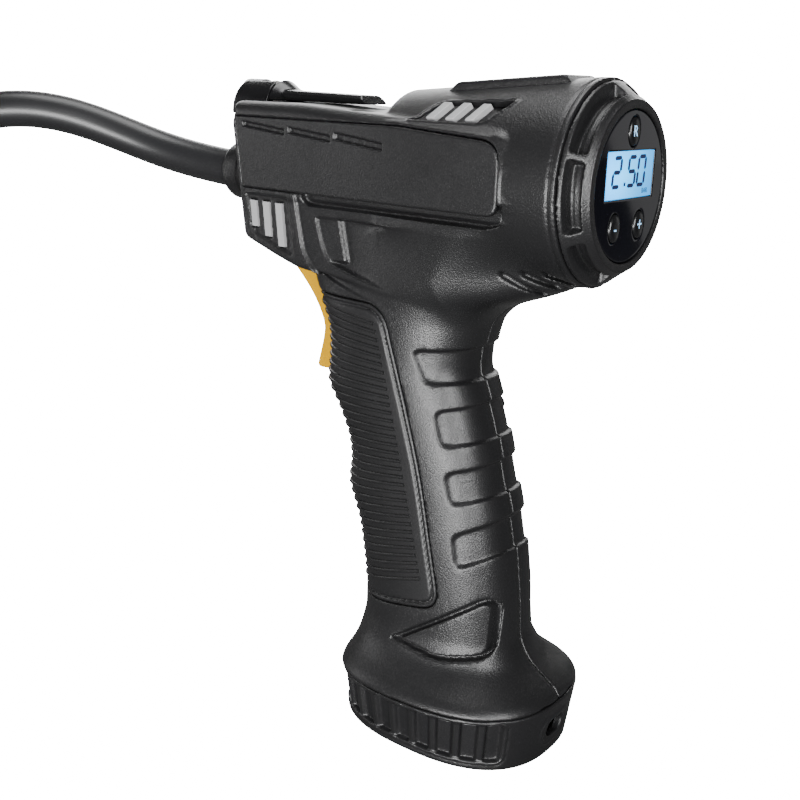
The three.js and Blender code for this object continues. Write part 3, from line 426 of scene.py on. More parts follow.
TRIANGLE = [
    (-14.1, 33.1, 1.5),
    (18.2, 55.3, 3.5),
    (22, 53, 3),
    (22, 34.5, 4),
    (5.5, 31.4, 4),
]
CHANNEL = [
    (-60.2, 182, 0),
    (-59.6, 175, 2),
    (-56.5, 160.9, 3),
    (-51.5, 153.6, 6),
    (-35.5, 149.7, 0),
    (-25.4, 147.2, 0),
    (12, 137, 0),
    (12, 182, 0),
]
POCKET = [
    (-51.6, 172.4, 1.5),
    (-48.4, 162.6, 3),
    (-45.4, 157.8, 3),
    (-33.1, 154.6, 0),
    (-16.7, 151.3, 0),
    (5, 148, 0),
    (20, 150, 0),
    (20, 171.8, 0),
]
BLOCK = [
    (-53, 173, 0),
    (-42.1, 173, 0.5),
    (-38.6, 158.6, 0.8),
    (-48, 158.2, 0),
]
UNDERCUT = [
    (-57.8, 181, 0),
    (-57.2, 177.4, 1.5),
    (-54.5, 175.8, 1.5),
    (18, 175.9, 2.5),
    (24.4, 178, 2.5),
    (24.4, 183, 0),
]
VENT_BED = [(-84, 177.6, 1), (-63.4, 177.4, 1), (-60.9, 158.6, 1), (-78.8, 164.2, 1)]


def nose_slot(index):
    left = NOSE_FRONT + 10.4 + 6.2 * index
    top, bottom = 175.3, 166.6 - 2.8 * index
    lean = 0.13 * (top - bottom)
    return [
        (left - GAP, top + GAP, 0),
        (left + 3 + GAP, top + GAP, 0),
        (left + 3 + GAP + lean, bottom - GAP, 0),
        (left - GAP + lean, bottom - GAP, 0),
    ]


VENT_CENTRE, VENT_LEAN, VENT_HALF, VENT_TALL = (4, -19.6, 208.4), 3.4, 13.5, 3.8


def facet_axes(x, y, z):
    """Places on the upper vent's leaning facet: along it, up it and out of it."""
    dx, dy, dz = x - VENT_CENTRE[0], y - VENT_CENTRE[1], z - VENT_CENTRE[2]
    up = (dy + dz) * math.sqrt(0.5)
    out = (dz - dy) * math.sqrt(0.5)
    return dx - VENT_LEAN * up / VENT_TALL, up, out


def vent_distance(x, y, z, grow):
    along, up, out = facet_axes(x, y, z)
    return rounded_max(np.abs(along) - VENT_HALF - grow, np.abs(up) - VENT_TALL - grow, 1.6), out


def outer_skin(x, y, z, form):
    """The casing's outside with everything that is moulded into it."""
    skin = np.maximum(form, x - BARREL_REAR)
    side = smoothstep((-6 - y) / 4)
    # Recesses round the back of the grip.
    for notch in notch_outlines():
        skin = skin + 1.25 * ramp(outline_distance(notch, x, z), 1.3)
    # The groove round the raised triangle above the foot.
    triangle = outline_distance(TRIANGLE, x, z)
    skin = skin + 1.9 * ramp(np.abs(triangle + 0.85) - 0.75, 0.6) * side

    # The channel round the nose, with its ridge, and the pocket inside it with its block.
    fade = 1 - smoothstep((x + 44) / 34)
    channel = outline_distance(CHANNEL, x, z)
    ridge = ramp(np.abs(channel - 0.55) - 0.45, 0.7) * (1 - smoothstep((x + 46) / 18))
    skin = skin + (0.8 * ramp(channel, 0.8) * fade - 0.25 * ridge) * side
    pocket = outline_distance(POCKET, x, z)
    block = ramp(outline_distance(BLOCK, x, z), 0.9)
    low_fade = 1 - smoothstep((x + 38) / (18 + 16 * smoothstep((z - 150) / 20)))
    sunk = 0.7 * low_fade + 1.5 * (1 - block) * (1 - smoothstep((x + 40) / 24))
    skin = skin + sunk * ramp(pocket, 0.8) * side
    # The shadow gap under the side panel.
    skin = skin + 2.3 * ramp(outline_distance(UNDERCUT, x, z), 0.7) * side
    # The sunk bed of the nose vent, and the groove at its front.
    bed = outline_distance(VENT_BED, x, z)
    skin = skin + 0.8 * ramp(bed, 0.6) * side
    skin = skin + 0.4 * ramp(np.abs(bed - 1.1) - 0.35, 0.6) * (1 - smoothstep((x + 80) / 3)) * side

    # Three short grooves under the barrel.
    under = smoothstep((-y - 4) / 3)
    for i in range(3):
        start, end = (19.6 + 6.4 * i, 161.8 + 0.8 * i), (28.2 + 6.4 * i, 156.6 + 1.4 * i)
        near = line_distance([start, end], x, z)
        skin = skin + 1.5 * ramp(near - 0.9, 0.8) * under

    # The groove round the barrel in front of the bezel.
    seam = np.abs(x - BARREL_REAR + 2.2) - 0.35
    skin = skin + 0.35 * ramp(seam, 0.5) * (np.sqrt(y * y + (z - AXIS_Z) ** 2) > 24)
    return skin


def trigger_sweep(x, z):
    """The room behind the trigger that it swings into."""
    return np.maximum(np.abs(x + 46) - 10, np.abs(z - 137) - 23)


def shell_fields(step):
    """The left shell and the mirror image of the right one, on one grid."""
    axes = grid((-95.5, -35.5, 14), (44, 1.5, 221), step)
    x, y, z = axes
    form = body_form(x, y, z, step)
    skin = outer_skin(x, y, z, form)
    recess = np.minimum(outline_distance(CHANNEL, x, z), outline_distance(UNDERCUT, x, z))
    thicker = 2.6 * ramp(recess - 1.5, 2)
    shell = np.maximum(skin, -(form + WALL + thicker))
    shell = rounded_max(shell, rim_height(x) + GAP / 2 - z, 0.5)

    # The side panel's seat, with a raised line round its rear corner.
    half = side_of(x)
    panel = outline_distance(PANEL_OUTLINE, x, z)
    frame_line = ramp(np.abs(panel - 1.1) - 0.5, 0.6) * smoothstep((x + 24) / 6) * (z > 181)
    shell = shell - 0.45 * frame_line * (y < -15) * (np.abs(form) < 3)
    joint = GAP * (0.2 + 0.8 * smoothstep((x + 50) / 25))
    shell = np.maximum(shell, -np.maximum(panel - joint, half - 1.1 - GAP + y))
    for i in range(3):
        slot = outline_distance(nose_slot(i), x, z)
        shell = np.maximum(shell, -np.maximum(slot, y + half - 5.3))
    # The upper vent's seat, with its raised rim.
    vent, out = vent_distance(x, y, z, 0)
    rim = ramp(np.abs(vent - 0.9) - 0.35, 0.5) * (np.abs(out) < 4)
    shell = shell - 0.5 * rim * (np.abs(form) < 3)
    shell = np.maximum(shell, -np.maximum(vent - GAP, -out - 2.8))
    # Room for the grip insert, the trigger, the lamp and the ferrule.
    region = outline_distance(INSERT_OUTLINE, x, z)
    shell = np.maximum(shell, -np.maximum(region - GAP, -(form + 1.4 + GAP)))
    blade = outline_distance(TRIGGER_OUTLINE, x, z) - 1
    slot = np.maximum(np.minimum(blade, trigger_sweep(x, z)), -y - TRIGGER_HALF - GAP)
    shell = np.maximum(shell, -slot)
    lamp = np.maximum(lamp_section(y, z) - GAP, x + 84 - GAP)
    shell = np.maximum(shell, -lamp)
    ferrule = np.maximum(np.sqrt(y * y + (z - HOSE_EXIT_Z) ** 2) - FERRULE_RADIUS - GAP, x + 78)
    shell = np.maximum(shell, -ferrule)
    # The rounded hollow where the barrel meets the nose, and the pad's seat.
    dimple = np.sqrt((x + 37) ** 2 + (y + 14.5) ** 2 + (z - 211.5) ** 2) - 6.5
    shell = rounded_max(shell, -dimple, 0.8)
    pad_low, pad_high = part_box("top_pad")
    pad = np.maximum(np.abs(y) - pad_high.y / MM - GAP, np.abs(x - 12.7) - 19.4)
    seat = barrel_radius(x) + AXIS_Z - 1.4
    shell = np.maximum(shell, -np.maximum(pad, seat - z))

    # The right shell also has the screws' counterbores.
    right = shell.copy()
    for i in range(1, 7):
        low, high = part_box(f"casing_screw_{i}")
        cx, cz = (low.x + high.x) / 2 / MM, (low.z + high.z) / 2 / MM
        radius = (high.x - low.x) / 2 / MM + GAP
        bore = np.sqrt((x - cx) ** 2 + (z - cz) ** 2)
        head_floor = (high.y / MM) - 2.0 - GAP
        sink = np.maximum(bore - radius, head_floor + y)
        right = np.maximum(right, -np.maximum(sink, -(-y - head_floor)))
        right = rounded_max(right, -np.maximum(bore - radius, y + head_floor), 0.3)
    cut = y + GAP / 2
    return axes, np.maximum(shell, cut), np.maximum(right, cut)


SPRINGING = 205.9


def lamp_section(y, z):
    """Distance in the plane to the lamp's D-shaped section."""
    round_top = np.sqrt(y * y + np.maximum(z - SPRINGING, 0) ** 2) - 9.5
    return np.maximum(round_top, 203.5 - z)


# ---------------------------------------------------------------- finishes
def wire(links, *joints):
    """Links sockets, each joint given as a node, its output, the next node and its input."""
    for source, output, target, entry in joints:
        links.new(source.outputs[output], target.inputs[entry])


def grain_group():
    """Fine moulded grain: a height for bump and for colour, and a slow cloudiness for roughness."""
    tree = bpy.data.node_groups.new("moulded_grain", "ShaderNodeTree")
    face = tree.interface
    defaults = {"Grain per metre": 2600.0, "Cloud per metre": 60.0, "Roughness": 0.4, "Spread": 0.08}
    for name, default in defaults.items():
        socket = face.new_socket(name, in_out="INPUT", socket_type="NodeSocketFloat")
        socket.default_value = default
    face.new_socket("Tint", in_out="INPUT", socket_type="NodeSocketColor")
    face.new_socket("Height", in_out="OUTPUT", socket_type="NodeSocketFloat")
    face.new_socket("Roughness", in_out="OUTPUT", socket_type="NodeSocketFloat")
    face.new_socket("Color", in_out="OUTPUT", socket_type="NodeSocketColor")
    nodes, links = tree.nodes, tree.links
    inward, outward = nodes.new("NodeGroupInput"), nodes.new("NodeGroupOutput")
    place = nodes.new("ShaderNodeTexCoord")
    grain, cloud = nodes.new("ShaderNodeTexNoise"), nodes.new("ShaderNodeTexNoise")
    grain.inputs["Detail"].default_value = 2
    cloud.inputs["Detail"].default_value = 4
    for noise, name in ((grain, "Grain per metre"), (cloud, "Cloud per metre")):
        wire(
            links,
            (place, "Object", noise, "Vector"),
            (inward, name, noise, "Scale"),
        )
    shift = nodes.new("ShaderNodeMath")
    shift.operation = "SUBTRACT"
    links.new(cloud.outputs["Fac"], shift.inputs[0])
    shift.inputs[1].default_value = 0.5
    spread = nodes.new("ShaderNodeMath")
    spread.operation = "MULTIPLY_ADD"
    wire(
        links,
        (shift, 0, spread, 0),
        (inward, "Spread", spread, 1),
        (inward, "Roughness", spread, 2),
    )
    lift = nodes.new("ShaderNodeMapRange")
    lift.inputs["To Min"].default_value = 0.8
    lift.inputs["To Max"].default_value = 1.25
    links.new(grain.outputs["Fac"], lift.inputs["Value"])
    scale = nodes.new("ShaderNodeVectorMath")
    scale.operation = "SCALE"
    wire(
        links,
        (inward, "Tint", scale, 0),
        (lift, 0, scale, "Scale"),
        (grain, "Fac", outward, "Height"),
        (spread, 0, outward, "Roughness"),
        (scale, 0, outward, "Color"),
    )
    return tree


def finish(name, tint, roughness, grain=2600.0, depth=0.02, spread=0.1, **sockets):
    """A material with moulded grain; other keywords are the shader's own sockets."""
    material = bpy.data.materials.get(name)
    if material:
        return material
    group = bpy.data.node_groups.get("moulded_grain") or grain_group()
    material = bpy.data.materials.new(name)
    material.use_nodes = True
    nodes, links = material.node_tree.nodes, material.node_tree.links
    shader = nodes["Principled BSDF"]
    texture = nodes.new("ShaderNodeGroup")
    texture.node_tree = group
    texture.inputs["Tint"].default_value = (*tint[:3], 1)
    texture.inputs["Roughness"].default_value = roughness
    texture.inputs["Spread"].default_value = spread
    texture.inputs["Grain per metre"].default_value = grain
    wire(
        links,
        (texture, "Color", shader, "Base Color"),
        (texture, "Roughness", shader, "Roughness"),
    )
    bump = nodes.new("ShaderNodeBump")
    bump.inputs["Strength"].default_value = 1
    bump.inputs["Distance"].default_value = depth * MM
    wire(
        links,
        (texture, "Height", bump, "Height"),
        (bump, "Normal", shader, "Normal"),
    )
    for key, value in sockets.items():
        shader.inputs[key.replace("_", " ")].default_value = value
    return material


def tint(name, description, default):
    return bpy.props.FloatVectorProperty(name=name, description=description, subtype="COLOR", default=default)


def measure(name, description, default):
    return bpy.props.FloatProperty(name=name, description=description, unit="LENGTH", default=default)


class InflatorColours(bpy.types.PropertyGroup):
    casing: tint("Casing", "Satin black plastic", (0.0065, 0.0065, 0.007))
    rubber: tint("Rubber", "Grip insert, seals and hose", (0.0055, 0.0055, 0.006))
    vents: tint("Vent bars", "Light bars of the vents", (0.27, 0.27, 0.275))
    trigger: tint("Trigger", "Yellow trigger", (0.42, 0.215, 0.0))
    screen: tint("Screen", "Lit display", (0.04, 0.4, 0.97))


class InflatorSizes(bpy.types.PropertyGroup):
    shell_step: measure("Shell detail", "Grid step of the casing shells", 0.0005)
    fine_step: measure("Fine detail", "Grid step of the small mouldings", 0.0004)
    rib_count: bpy.props.IntProperty(name="Ribs", description="Ribs across the grip insert", default=33)
    rib_radius: measure("Rib radius", "Radius of a rib's section", 0.0007)
    hose_radius: measure("Hose radius", "Half the hose's diameter", 0.00675)


def sizes():
    return bpy.context.scene.inflator_sizes


def colours():
    return bpy.context.scene.inflator_colours


def black_plastic():
    return finish("satin_black_plastic", colours().casing, 0.37, grain=2300.0, depth=0.11, spread=0.12)


def gloss_black():
    return finish("gloss_black_plastic", (0.004, 0.004, 0.0045), 0.26, grain=1500.0, depth=0.01, spread=0.06)


def black_rubber():
    return finish("soft_black_rubber", colours().rubber, 0.42, grain=2000.0, depth=0.05, spread=0.12)


def grey_bars():
    return finish("light_grey_plastic", colours().vents, 0.45, grain=2600.0, depth=0.02)


# ---------------------------------------------------------------- repeated shapes
def node_tree(name, inputs):
    """An empty Geometry Nodes tree with a mesh in, a mesh out and these named inputs."""
    tree = bpy.data.node_groups.new(name, "GeometryNodeTree")
    tree.interface.new_socket("Geometry", in_out="INPUT", socket_type="NodeSocketGeometry")
    for label, kind, default in inputs:
        socket = tree.interface.new_socket(label, in_out="INPUT", socket_type=kind)
        if default is not None:
            socket.default_value = default
    tree.interface.new_socket("Geometry", in_out="OUTPUT", socket_type="NodeSocketGeometry")
    return tree, tree.nodes.new("NodeGroupInput"), tree.nodes.new("NodeGroupOutput")


def with_tree(piece, tree, values):
    """Runs a tree on a piece with its inputs set by identifier, and bakes the result."""
    modifier = piece.modifiers.new(tree.name, "NODES")
    modifier.node_group = tree
    for item in tree.interface.items_tree:
        if item.item_type == "SOCKET" and item.in_out == "INPUT" and item.name in values:
            modifier[item.identifier] = values[item.name]
    return baked(piece)


def swept_ribs(name, lines, radius, material):
    """Round bars along open lines, each given as points in millimetres."""
    tree, inward, outward = node_tree(
        name,
        [
            ("Radius", "NodeSocketFloat", 0.001),
            ("Sides", "NodeSocketInt", 8),
            ("Material", "NodeSocketMaterial", None),
        ],
    )
    nodes, links = tree.nodes, tree.links
    curve, circle = nodes.new("GeometryNodeMeshToCurve"), nodes.new("GeometryNodeCurvePrimitiveCircle")
    sweep, real = nodes.new("GeometryNodeCurveToMesh"), nodes.new("GeometryNodeRealizeInstances")
    paint, smooth = nodes.new("GeometryNodeSetMaterial"), nodes.new("GeometryNodeSetShadeSmooth")
    wire(
        links,
        (inward, "Geometry", curve, "Mesh"),
        (inward, "Radius", circle, "Radius"),
        (inward, "Sides", circle, "Resolution"),
        (curve, "Curve", sweep, "Curve"),
        (circle, "Curve", sweep, "Profile Curve"),
    )
    sweep.inputs["Fill Caps"].default_value = True
    wire(
        links,
        (sweep, "Mesh", smooth, "Geometry"),
        (smooth, "Geometry", real, "Geometry"),
        (real, "Geometry", paint, "Geometry"),
        (inward, "Material", paint, "Material"),
        (paint, "Geometry", outward, "Geometry"),
    )
    mesh = bpy.data.meshes.new(name)
    points, edges = [], []
    for line in lines:
        edges += [(len(points) + i, len(points) + i + 1) for i in range(len(line) - 1)]
        points += [tuple(c * MM for c in p) for p in line]
    mesh.from_pydata(points, edges, [])
    piece = make_object(name, mesh)
    return with_tree(piece, tree, {"Radius": radius, "Sides": 8, "Material": material})


def row_of_bars(name, size, first, step, count, frame_axes, material):
    """Equal bars in a row: size along the row's own axes, then carried onto frame_axes."""
    tree, inward, outward = node_tree(
        name,
        [
            ("Count", "NodeSocketInt", 3),
            ("Start", "NodeSocketVector", None),
            ("Step", "NodeSocketVector", None),
            ("Material", "NodeSocketMaterial", None),
        ],
    )
    nodes, links = tree.nodes, tree.links
    line, place = nodes.new("GeometryNodeMeshLine"), nodes.new("GeometryNodeInstanceOnPoints")
    real, paint = nodes.new("GeometryNodeRealizeInstances"), nodes.new("GeometryNodeSetMaterial")
    wire(
        links,
        (inward, "Count", line, "Count"),
        (inward, "Start", line, "Start Location"),
        (inward, "Step", line, "Offset"),
        (line, "Mesh", place, "Points"),
        (inward, "Geometry", place, "Instance"),
        (place, "Instances", real, "Geometry"),
        (real, "Geometry", paint, "Geometry"),
        (inward, "Material", paint, "Material"),
        (paint, "Geometry", outward, "Geometry"),
    )
    width, tall, deep, lean = size
    corners = []
    for out in (-deep, 0):
        for along, up in ((-1, -1), (1, -1), (1, 1), (-1, 1)):
            corners.append((along * width / 2 + up * lean / 2, up * tall / 2, out))
    mesh = bpy.data.meshes.new(name)
    faces = [(3, 2, 1, 0), (4, 5, 6, 7), (0, 1, 5, 4), (1, 2, 6, 5), (2, 3, 7, 6), (3, 0, 4, 7)]
    mesh.from_pydata([tuple(c * MM for c in p) for p in corners], [], faces)
    piece = make_object(name, mesh)
    bevel = piece.modifiers.new("edges", "BEVEL")
    bevel.width = 0.25 * MM
    bevel.segments = 2
    baked(piece)
    start, pitch = [c * MM for c in first], [c * MM for c in step]
    with_tree(piece, tree, {"Count": count, "Start": start, "Step": pitch, "Material": material})
    piece.data.transform(frame_axes)
    return piece


def lathe(name, profile, centre, material, sides=96):
    """A closed turned piece about a line along X; the profile is (x, radius) from front to rear."""
    profile = np.array(profile, float)
    angles = np.linspace(0, 2 * math.pi, sides, endpoint=False)
    vertices = []
    for a in angles:
        for x, r in profile:
            vertices.append((x, centre[0] + r * math.cos(a), centre[1] + r * math.sin(a)))
    n = len(profile)
    faces = []
    for i in range(sides):
        j = (i + 1) % sides
        for k in range(n):
            m = (k + 1) % n
            faces.append((i * n + k, j * n + k, j * n + m, i * n + m))
    return make_object(name, mesh_of(name, np.array(vertices), faces), material)


def outward(piece):
    """Turns the faces of a merged closed mesh to point out."""
    work = bmesh.new()
    work.from_mesh(piece.data)
    bmesh.ops.remove_doubles(work, verts=work.verts, dist=1e-6)
    bmesh.ops.recalc_face_normals(work, faces=work.faces)
    work.to_mesh(piece.data)
    work.free()
    return piece


def sharp_above(piece, degrees=35):
    """Smooth shading except across edges sharper than this."""
    work = bmesh.new()
    work.from_mesh(piece.data)
    limit = math.radians(degrees)
    for edge in work.edges:
        edge.smooth = len(edge.link_faces) == 2 and edge.calc_face_angle() < limit
    for face in work.faces:
        face.smooth = True
    work.to_mesh(piece.data)
    work.free()
    return piece


# ---------------------------------------------------------------- operators
CAMERA_PLACE = (0.1910, -0.2972, 0.2161)
CAMERA_AZIMUTH, CAMERA_ELEVATION, CAMERA_ROLL = 36.55, 16.01, 1.96


class INFLATOR_OT_camera(bpy.types.Operator):
    """Places the camera"""

    bl_idname = "inflator.camera"
    bl_label = "Camera"

    def execute(self, context):
        azimuth, elevation = math.radians(CAMERA_AZIMUTH), math.radians(CAMERA_ELEVATION)
        roll = math.radians(CAMERA_ROLL)
        level = math.cos(elevation)
        back = Vector((math.sin(azimuth) * level, -math.cos(azimuth) * level, math.sin(elevation)))
        right = Vector((math.cos(azimuth), math.sin(azimuth), 0))
        up = back.cross(right)
        side = math.cos(roll) * right + math.sin(roll) * up
        top = -math.sin(roll) * right + math.cos(roll) * up
        data = bpy.data.cameras.new("camera")
        data.lens = 50
        data.sensor_width = 36
        camera = bpy.data.objects.new("camera", data)
        turn = Matrix((side, top, back)).transposed().to_4x4()
        camera.matrix_world = Matrix.Translation(CAMERA_PLACE) @ turn
        context.scene.collection.objects.link(camera)
        context.scene.camera = camera
        return {"FINISHED"}


class INFLATOR_OT_hose(bpy.types.Operator):
    """Makes the air hose along its route"""

    bl_idname = "inflator.hose"
    bl_label = "Air hose"

    def execute(self, context):
        curve = bpy.data.curves.new("hose", "CURVE")
        curve.dimensions = "3D"
        curve.bevel_depth = sizes().hose_radius
        curve.bevel_resolution = 8
        curve.use_fill_caps = True
        spline = curve.splines.new("NURBS")
        spline.points.add(len(HOSE_ROUTE) - 1)
        for point, place in zip(spline.points, HOSE_ROUTE):
            point.co = (*[c * MM for c in place], 1)
        spline.use_endpoint_u = True
        spline.order_u = 4
        spline.resolution_u = 10
        hose = bpy.data.objects.new("hose", curve)
        context.scene.collection.objects.link(hose)
        rubber = finish("hose_rubber", (0.011, 0.011, 0.012), 0.36, grain=1800.0, depth=0.02)
        hose.data.materials.append(rubber)
        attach(hose, "casing")
        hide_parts("air_hose")
        return {"FINISHED"}


class INFLATOR_OT_casing(bpy.types.Operator):
    """Moulds the two casing shells"""

    bl_idname = "inflator.casing"
    bl_label = "Casing shells"

    def execute(self, context):
        step = sizes().shell_step / MM
        axes, left, right = shell_fields(step)
        for side, field, mirrored in (("left", left, False), ("right", right, True)):
            piece = moulded(f"casing_{side}", field, axes, step, black_plastic(), 190000, mirrored)
            on_casing(piece, "black_shell", f"shell_{side}")
        return {"FINISHED"}


# Ribs that end above this height stop short of the trigger's slot, this far from the middle.
SLOT_FOOT, SLOT_HALF = 121, 7.4


class INFLATOR_OT_insert(bpy.types.Operator):
    """Moulds the grip insert and lays its ribs round the front"""

    bl_idname = "inflator.insert"
    bl_label = "Grip insert"

    def execute(self, context):
        step = 0.5
        axes = grid((-68, -23, 41), (8, 23, 150), step)
        x, y, z = axes
        form = smooth_min(grip_form(x, y, z, step), barrel_form(x, y, z), 9)
        form = smooth_min(form, nose_form(x, y, z), 1.2)
        region = outline_distance(INSERT_OUTLINE, x, z)
        skin = form + 0.9 * ramp(np.abs(region + 1.7) - 0.3, 0.6)
        skin = rounded_max(skin, region, 0.4)
        body = np.maximum(skin, -(form + 1.4))
        blade = outline_distance(TRIGGER_OUTLINE, x, z) - 1.3
        slot = np.maximum(np.minimum(blade, trigger_sweep(x, z)), np.abs(y) - TRIGGER_HALF - 2 * GAP)
        body = np.maximum(body, -slot)
        insert = moulded("grip_cover", body, axes, step, black_rubber(), 120000)
        ribs = swept_ribs("grip_ribs", self.lines(), sizes().rib_radius, black_rubber())
        joined = join("grip_cover", [insert, ribs])
        on_casing(joined, "black_rubber", "grip_insert")
        return {"FINISHED"}

    def lines(self):
        """The ribs' lines: round the front of the grip from one side to the other."""
        lines = []
        count = sizes().rib_count
        for i in range(count):
            share = i / (count - 1)
            end = np.array([-25.6 + 22.6 * share ** 0.9, 140.6 - 82.6 * share])
            slope = -0.10 + 0.40 * share
            side = self.one_side(end, slope)
            other = [(px, -py, pz) for px, py, pz in side[-2::-1]]
            whole = side + other
            crosses_slot = end[1] > SLOT_FOOT and any(abs(p[1]) < SLOT_HALF for p in whole)
            if crosses_slot:
                lines += [[p for p in part if abs(p[1]) >= SLOT_HALF] for part in (side, other)]
            else:
                lines.append(whole)
        return [line for line in lines if len(line) > 2]

    def one_side(self, end, slope):
        """From the rib's end on the left side to the grip's front edge."""
        points = []
        for t in np.linspace(0, 1, 26):
            height = end[1]
            for _ in range(3):
                front, rear, half = [float(v) for v in grip_section(np.array(height))]
                centre, reach = (front + rear) / 2, (rear - front) / 2
                u_end = (end[0] - centre) / reach
                cosine = math.copysign(abs(u_end) ** (SQUARENESS / 2), u_end)
                start_angle = math.acos(max(-1, min(1, cosine)))
                angle = start_angle + (math.pi - start_angle) * t
                c, s = math.cos(angle), math.sin(angle)
                px = centre + reach * math.copysign(abs(c) ** (2 / SQUARENESS), c)
                py = -half * abs(s) ** (2 / SQUARENESS)
                height = end[1] - slope * (end[0] - px)
            sink = 0.12
            points.append((px - sink * math.cos(angle), py + sink * s, height))
        return points


def join(name, parts):
    """One object from several, keeping the first's name."""
    with bpy.context.temp_override(
        active_object=parts[0], object=parts[0], selected_objects=parts, selected_editable_objects=parts
    ):
        bpy.ops.object.join()
    parts[0].name = name
    return parts[0]


# The panel's slits: from x, to x, top, how far the top falls, and how tall.
SLITS = (
    (-84.9, -64.8, 201.4, 1.9, 1.6),
    (-62.7, -43.7, 200.4, 1.8, 1.8),
    (-41.8, -21.2, 199.8, 2.2, 2.1),
)


class INFLATOR_OT_panels(bpy.types.Operator):
    """Moulds the flat side panels with their three slits"""

    bl_idname = "inflator.panels"
    bl_label = "Side panels"

    def execute(self, context):
        step = sizes().fine_step / MM
        axes = grid((-91, -29.4, 177.5), (24, -18, 205.5), step)
        x, y, z = axes
        risen = smoothstep((x + 52) / 30)
        out = -y - side_of(x) - 0.5 * risen
        panel = outline_distance(PANEL_OUTLINE, x, z)
        body = rounded_max(panel, out, 0.12 + 0.6 * risen)
        for x0, x1, top, fall, tall in SLITS:
            corners = ((x0, top), (x1, top - fall), (x1, top - fall - tall), (x0, top - tall))
            slit = [(*corner, 0.2) for corner in corners]
            body = body + 1.1 * ramp(outline_distance(slit, x, z), 0.4)
        body = np.maximum(body, -(out + 1.6))
        for side, mirrored in (("left", False), ("right", True)):
            piece = moulded(f"panel_{side}", body, axes, step, black_plastic(), 90000, mirrored)
            on_casing(piece, "black_shell", f"side_panel_{side}")
        return {"FINISHED"}


class INFLATOR_OT_vents(bpy.types.Operator):
    """Makes the upper vents: a sunk tray with three leaning light bars"""

    bl_idname = "inflator.vents"
    bl_label = "Vents"

    def execute(self, context):
        step = 0.35
        axes = grid((-15, -28, 199), (23, -12, 218), step)
        x, y, z = axes
        vent, out = vent_distance(x, y, z, 0)
        tray = np.maximum(np.maximum(vent, out + 2.0), -(out + 2.7))
        root = math.sqrt(0.5)
        turn = Matrix(
            (
                (1, 0, 0, VENT_CENTRE[0] * MM),
                (0, root, -root, VENT_CENTRE[1] * MM),
                (0, root, root, VENT_CENTRE[2] * MM),
                (0, 0, 0, 1),
            )
        )
        bars_size = (2.7, 6.6, 2.3, 3.4)
        for name, sign in (("upper_grille_left", 1), ("upper_grille_right", -1)):
            tray_piece = moulded(name, tray, axes, step, black_plastic(), 30000, sign < 0)
            bars = row_of_bars(name + "_bars", bars_size, (-8.2, 0, 0.0), (6.9, 0, 0), 3, turn, grey_bars())
            if sign < 0:
                bars.data.transform(Matrix.Scale(-1, 4, (0, 1, 0)))
                bars.data.flip_normals()
            joined = join(name, [tray_piece, bars])
            node = "upper_vent_left" if sign > 0 else "upper_vent_right"
            on_casing(joined, "grey_trim", node)
        return {"FINISHED"}


class INFLATOR_OT_lamp(bpy.types.Operator):
    """Moulds the lamp housing and the faceted rail behind it"""

    bl_idname = "inflator.lamp"
    bl_label = "Lamp and rail"

    def execute(self, context):
        step = sizes().fine_step / MM
        axes = grid((-102.5, -11, 202), (-82.5, 11, 217), step)
        x, y, z = axes
        section = lamp_section(y, z)
        front = -101 + 0.12 * (z - 203.5) - x
        body = rounded_max(rounded_max(section, front, 1.4), x + 84, 0.3)
        bore = np.sqrt(y * y + (z - 209.9) ** 2) - 5.7
        body = rounded_max(body, -np.maximum(bore, -1), 0.3)
        housing = moulded("lamp_body", body, axes, step, gloss_black(), 90000)
        on_casing(housing, "gloss_black", "lamp_housing")

        axes = grid((-84.5, -11, 207), (-40, 11, 217), step)
        x, y, z = axes
        seat = 208.3
        radius = 9.5 - 3.6 * np.clip((x + 83.7) / 6.2, 0, 1)
        cone = np.sqrt(y * y + np.maximum(z - SPRINGING, 0) ** 2) - radius
        cone = rounded_max(cone, x + 77.2, 0.4)
        top = 211.9 - 0.018 * (x + 84)
        sides = np.abs(y) - 6
        bar = rounded_max(np.maximum(z - top, sides), (np.abs(y) + z - top - 4.6) * 0.707, 0.3)
        bar = np.maximum(bar, (x + 43 + (z - seat) * 0.9) * 0.74)
        body = np.maximum(np.maximum(smooth_min(cone, bar, 0.6), seat - z), -83.7 - x)
        rail = moulded("rail", body, axes, step, gloss_black(), 90000)
        on_casing(rail, "gloss_black", "top_rail")
        return {"FINISHED"}


class INFLATOR_OT_pad(bpy.types.Operator):
    """Moulds the raised pad on top of the barrel"""

    bl_idname = "inflator.pad"
    bl_label = "Top pad"

    def execute(self, context):
        step = sizes().fine_step / MM
        axes = grid((-9, -11, 206), (35, 11, 221), step)
        x, y, z = axes
        radius = barrel_radius(x)
        crown = AXIS_Z + radius + 1.05
        ends = np.maximum((-6.5 - x) + (z - crown + 1) * 1.2, (x - 32) + (z - crown + 1) * 0.9)
        drum = np.sqrt(y * y + (z - AXIS_Z) ** 2) - radius
        body = rounded_max(z - crown, np.abs(y) - 9, 1.0)
        body = rounded_max(body, ends * 0.7, 0.5)
        body = np.maximum(body, -(drum + 1.2))
        groove = np.abs(np.abs(y) - 6.6) - 0.3
        body = body + 0.3 * ramp(groove, 0.4) * (np.abs(x - 12.7) < 16)
        pad = moulded("pad", body, axes, step, black_plastic(), 60000)
        on_casing(pad, "black_shell", "top_pad")
        return {"FINISHED"}


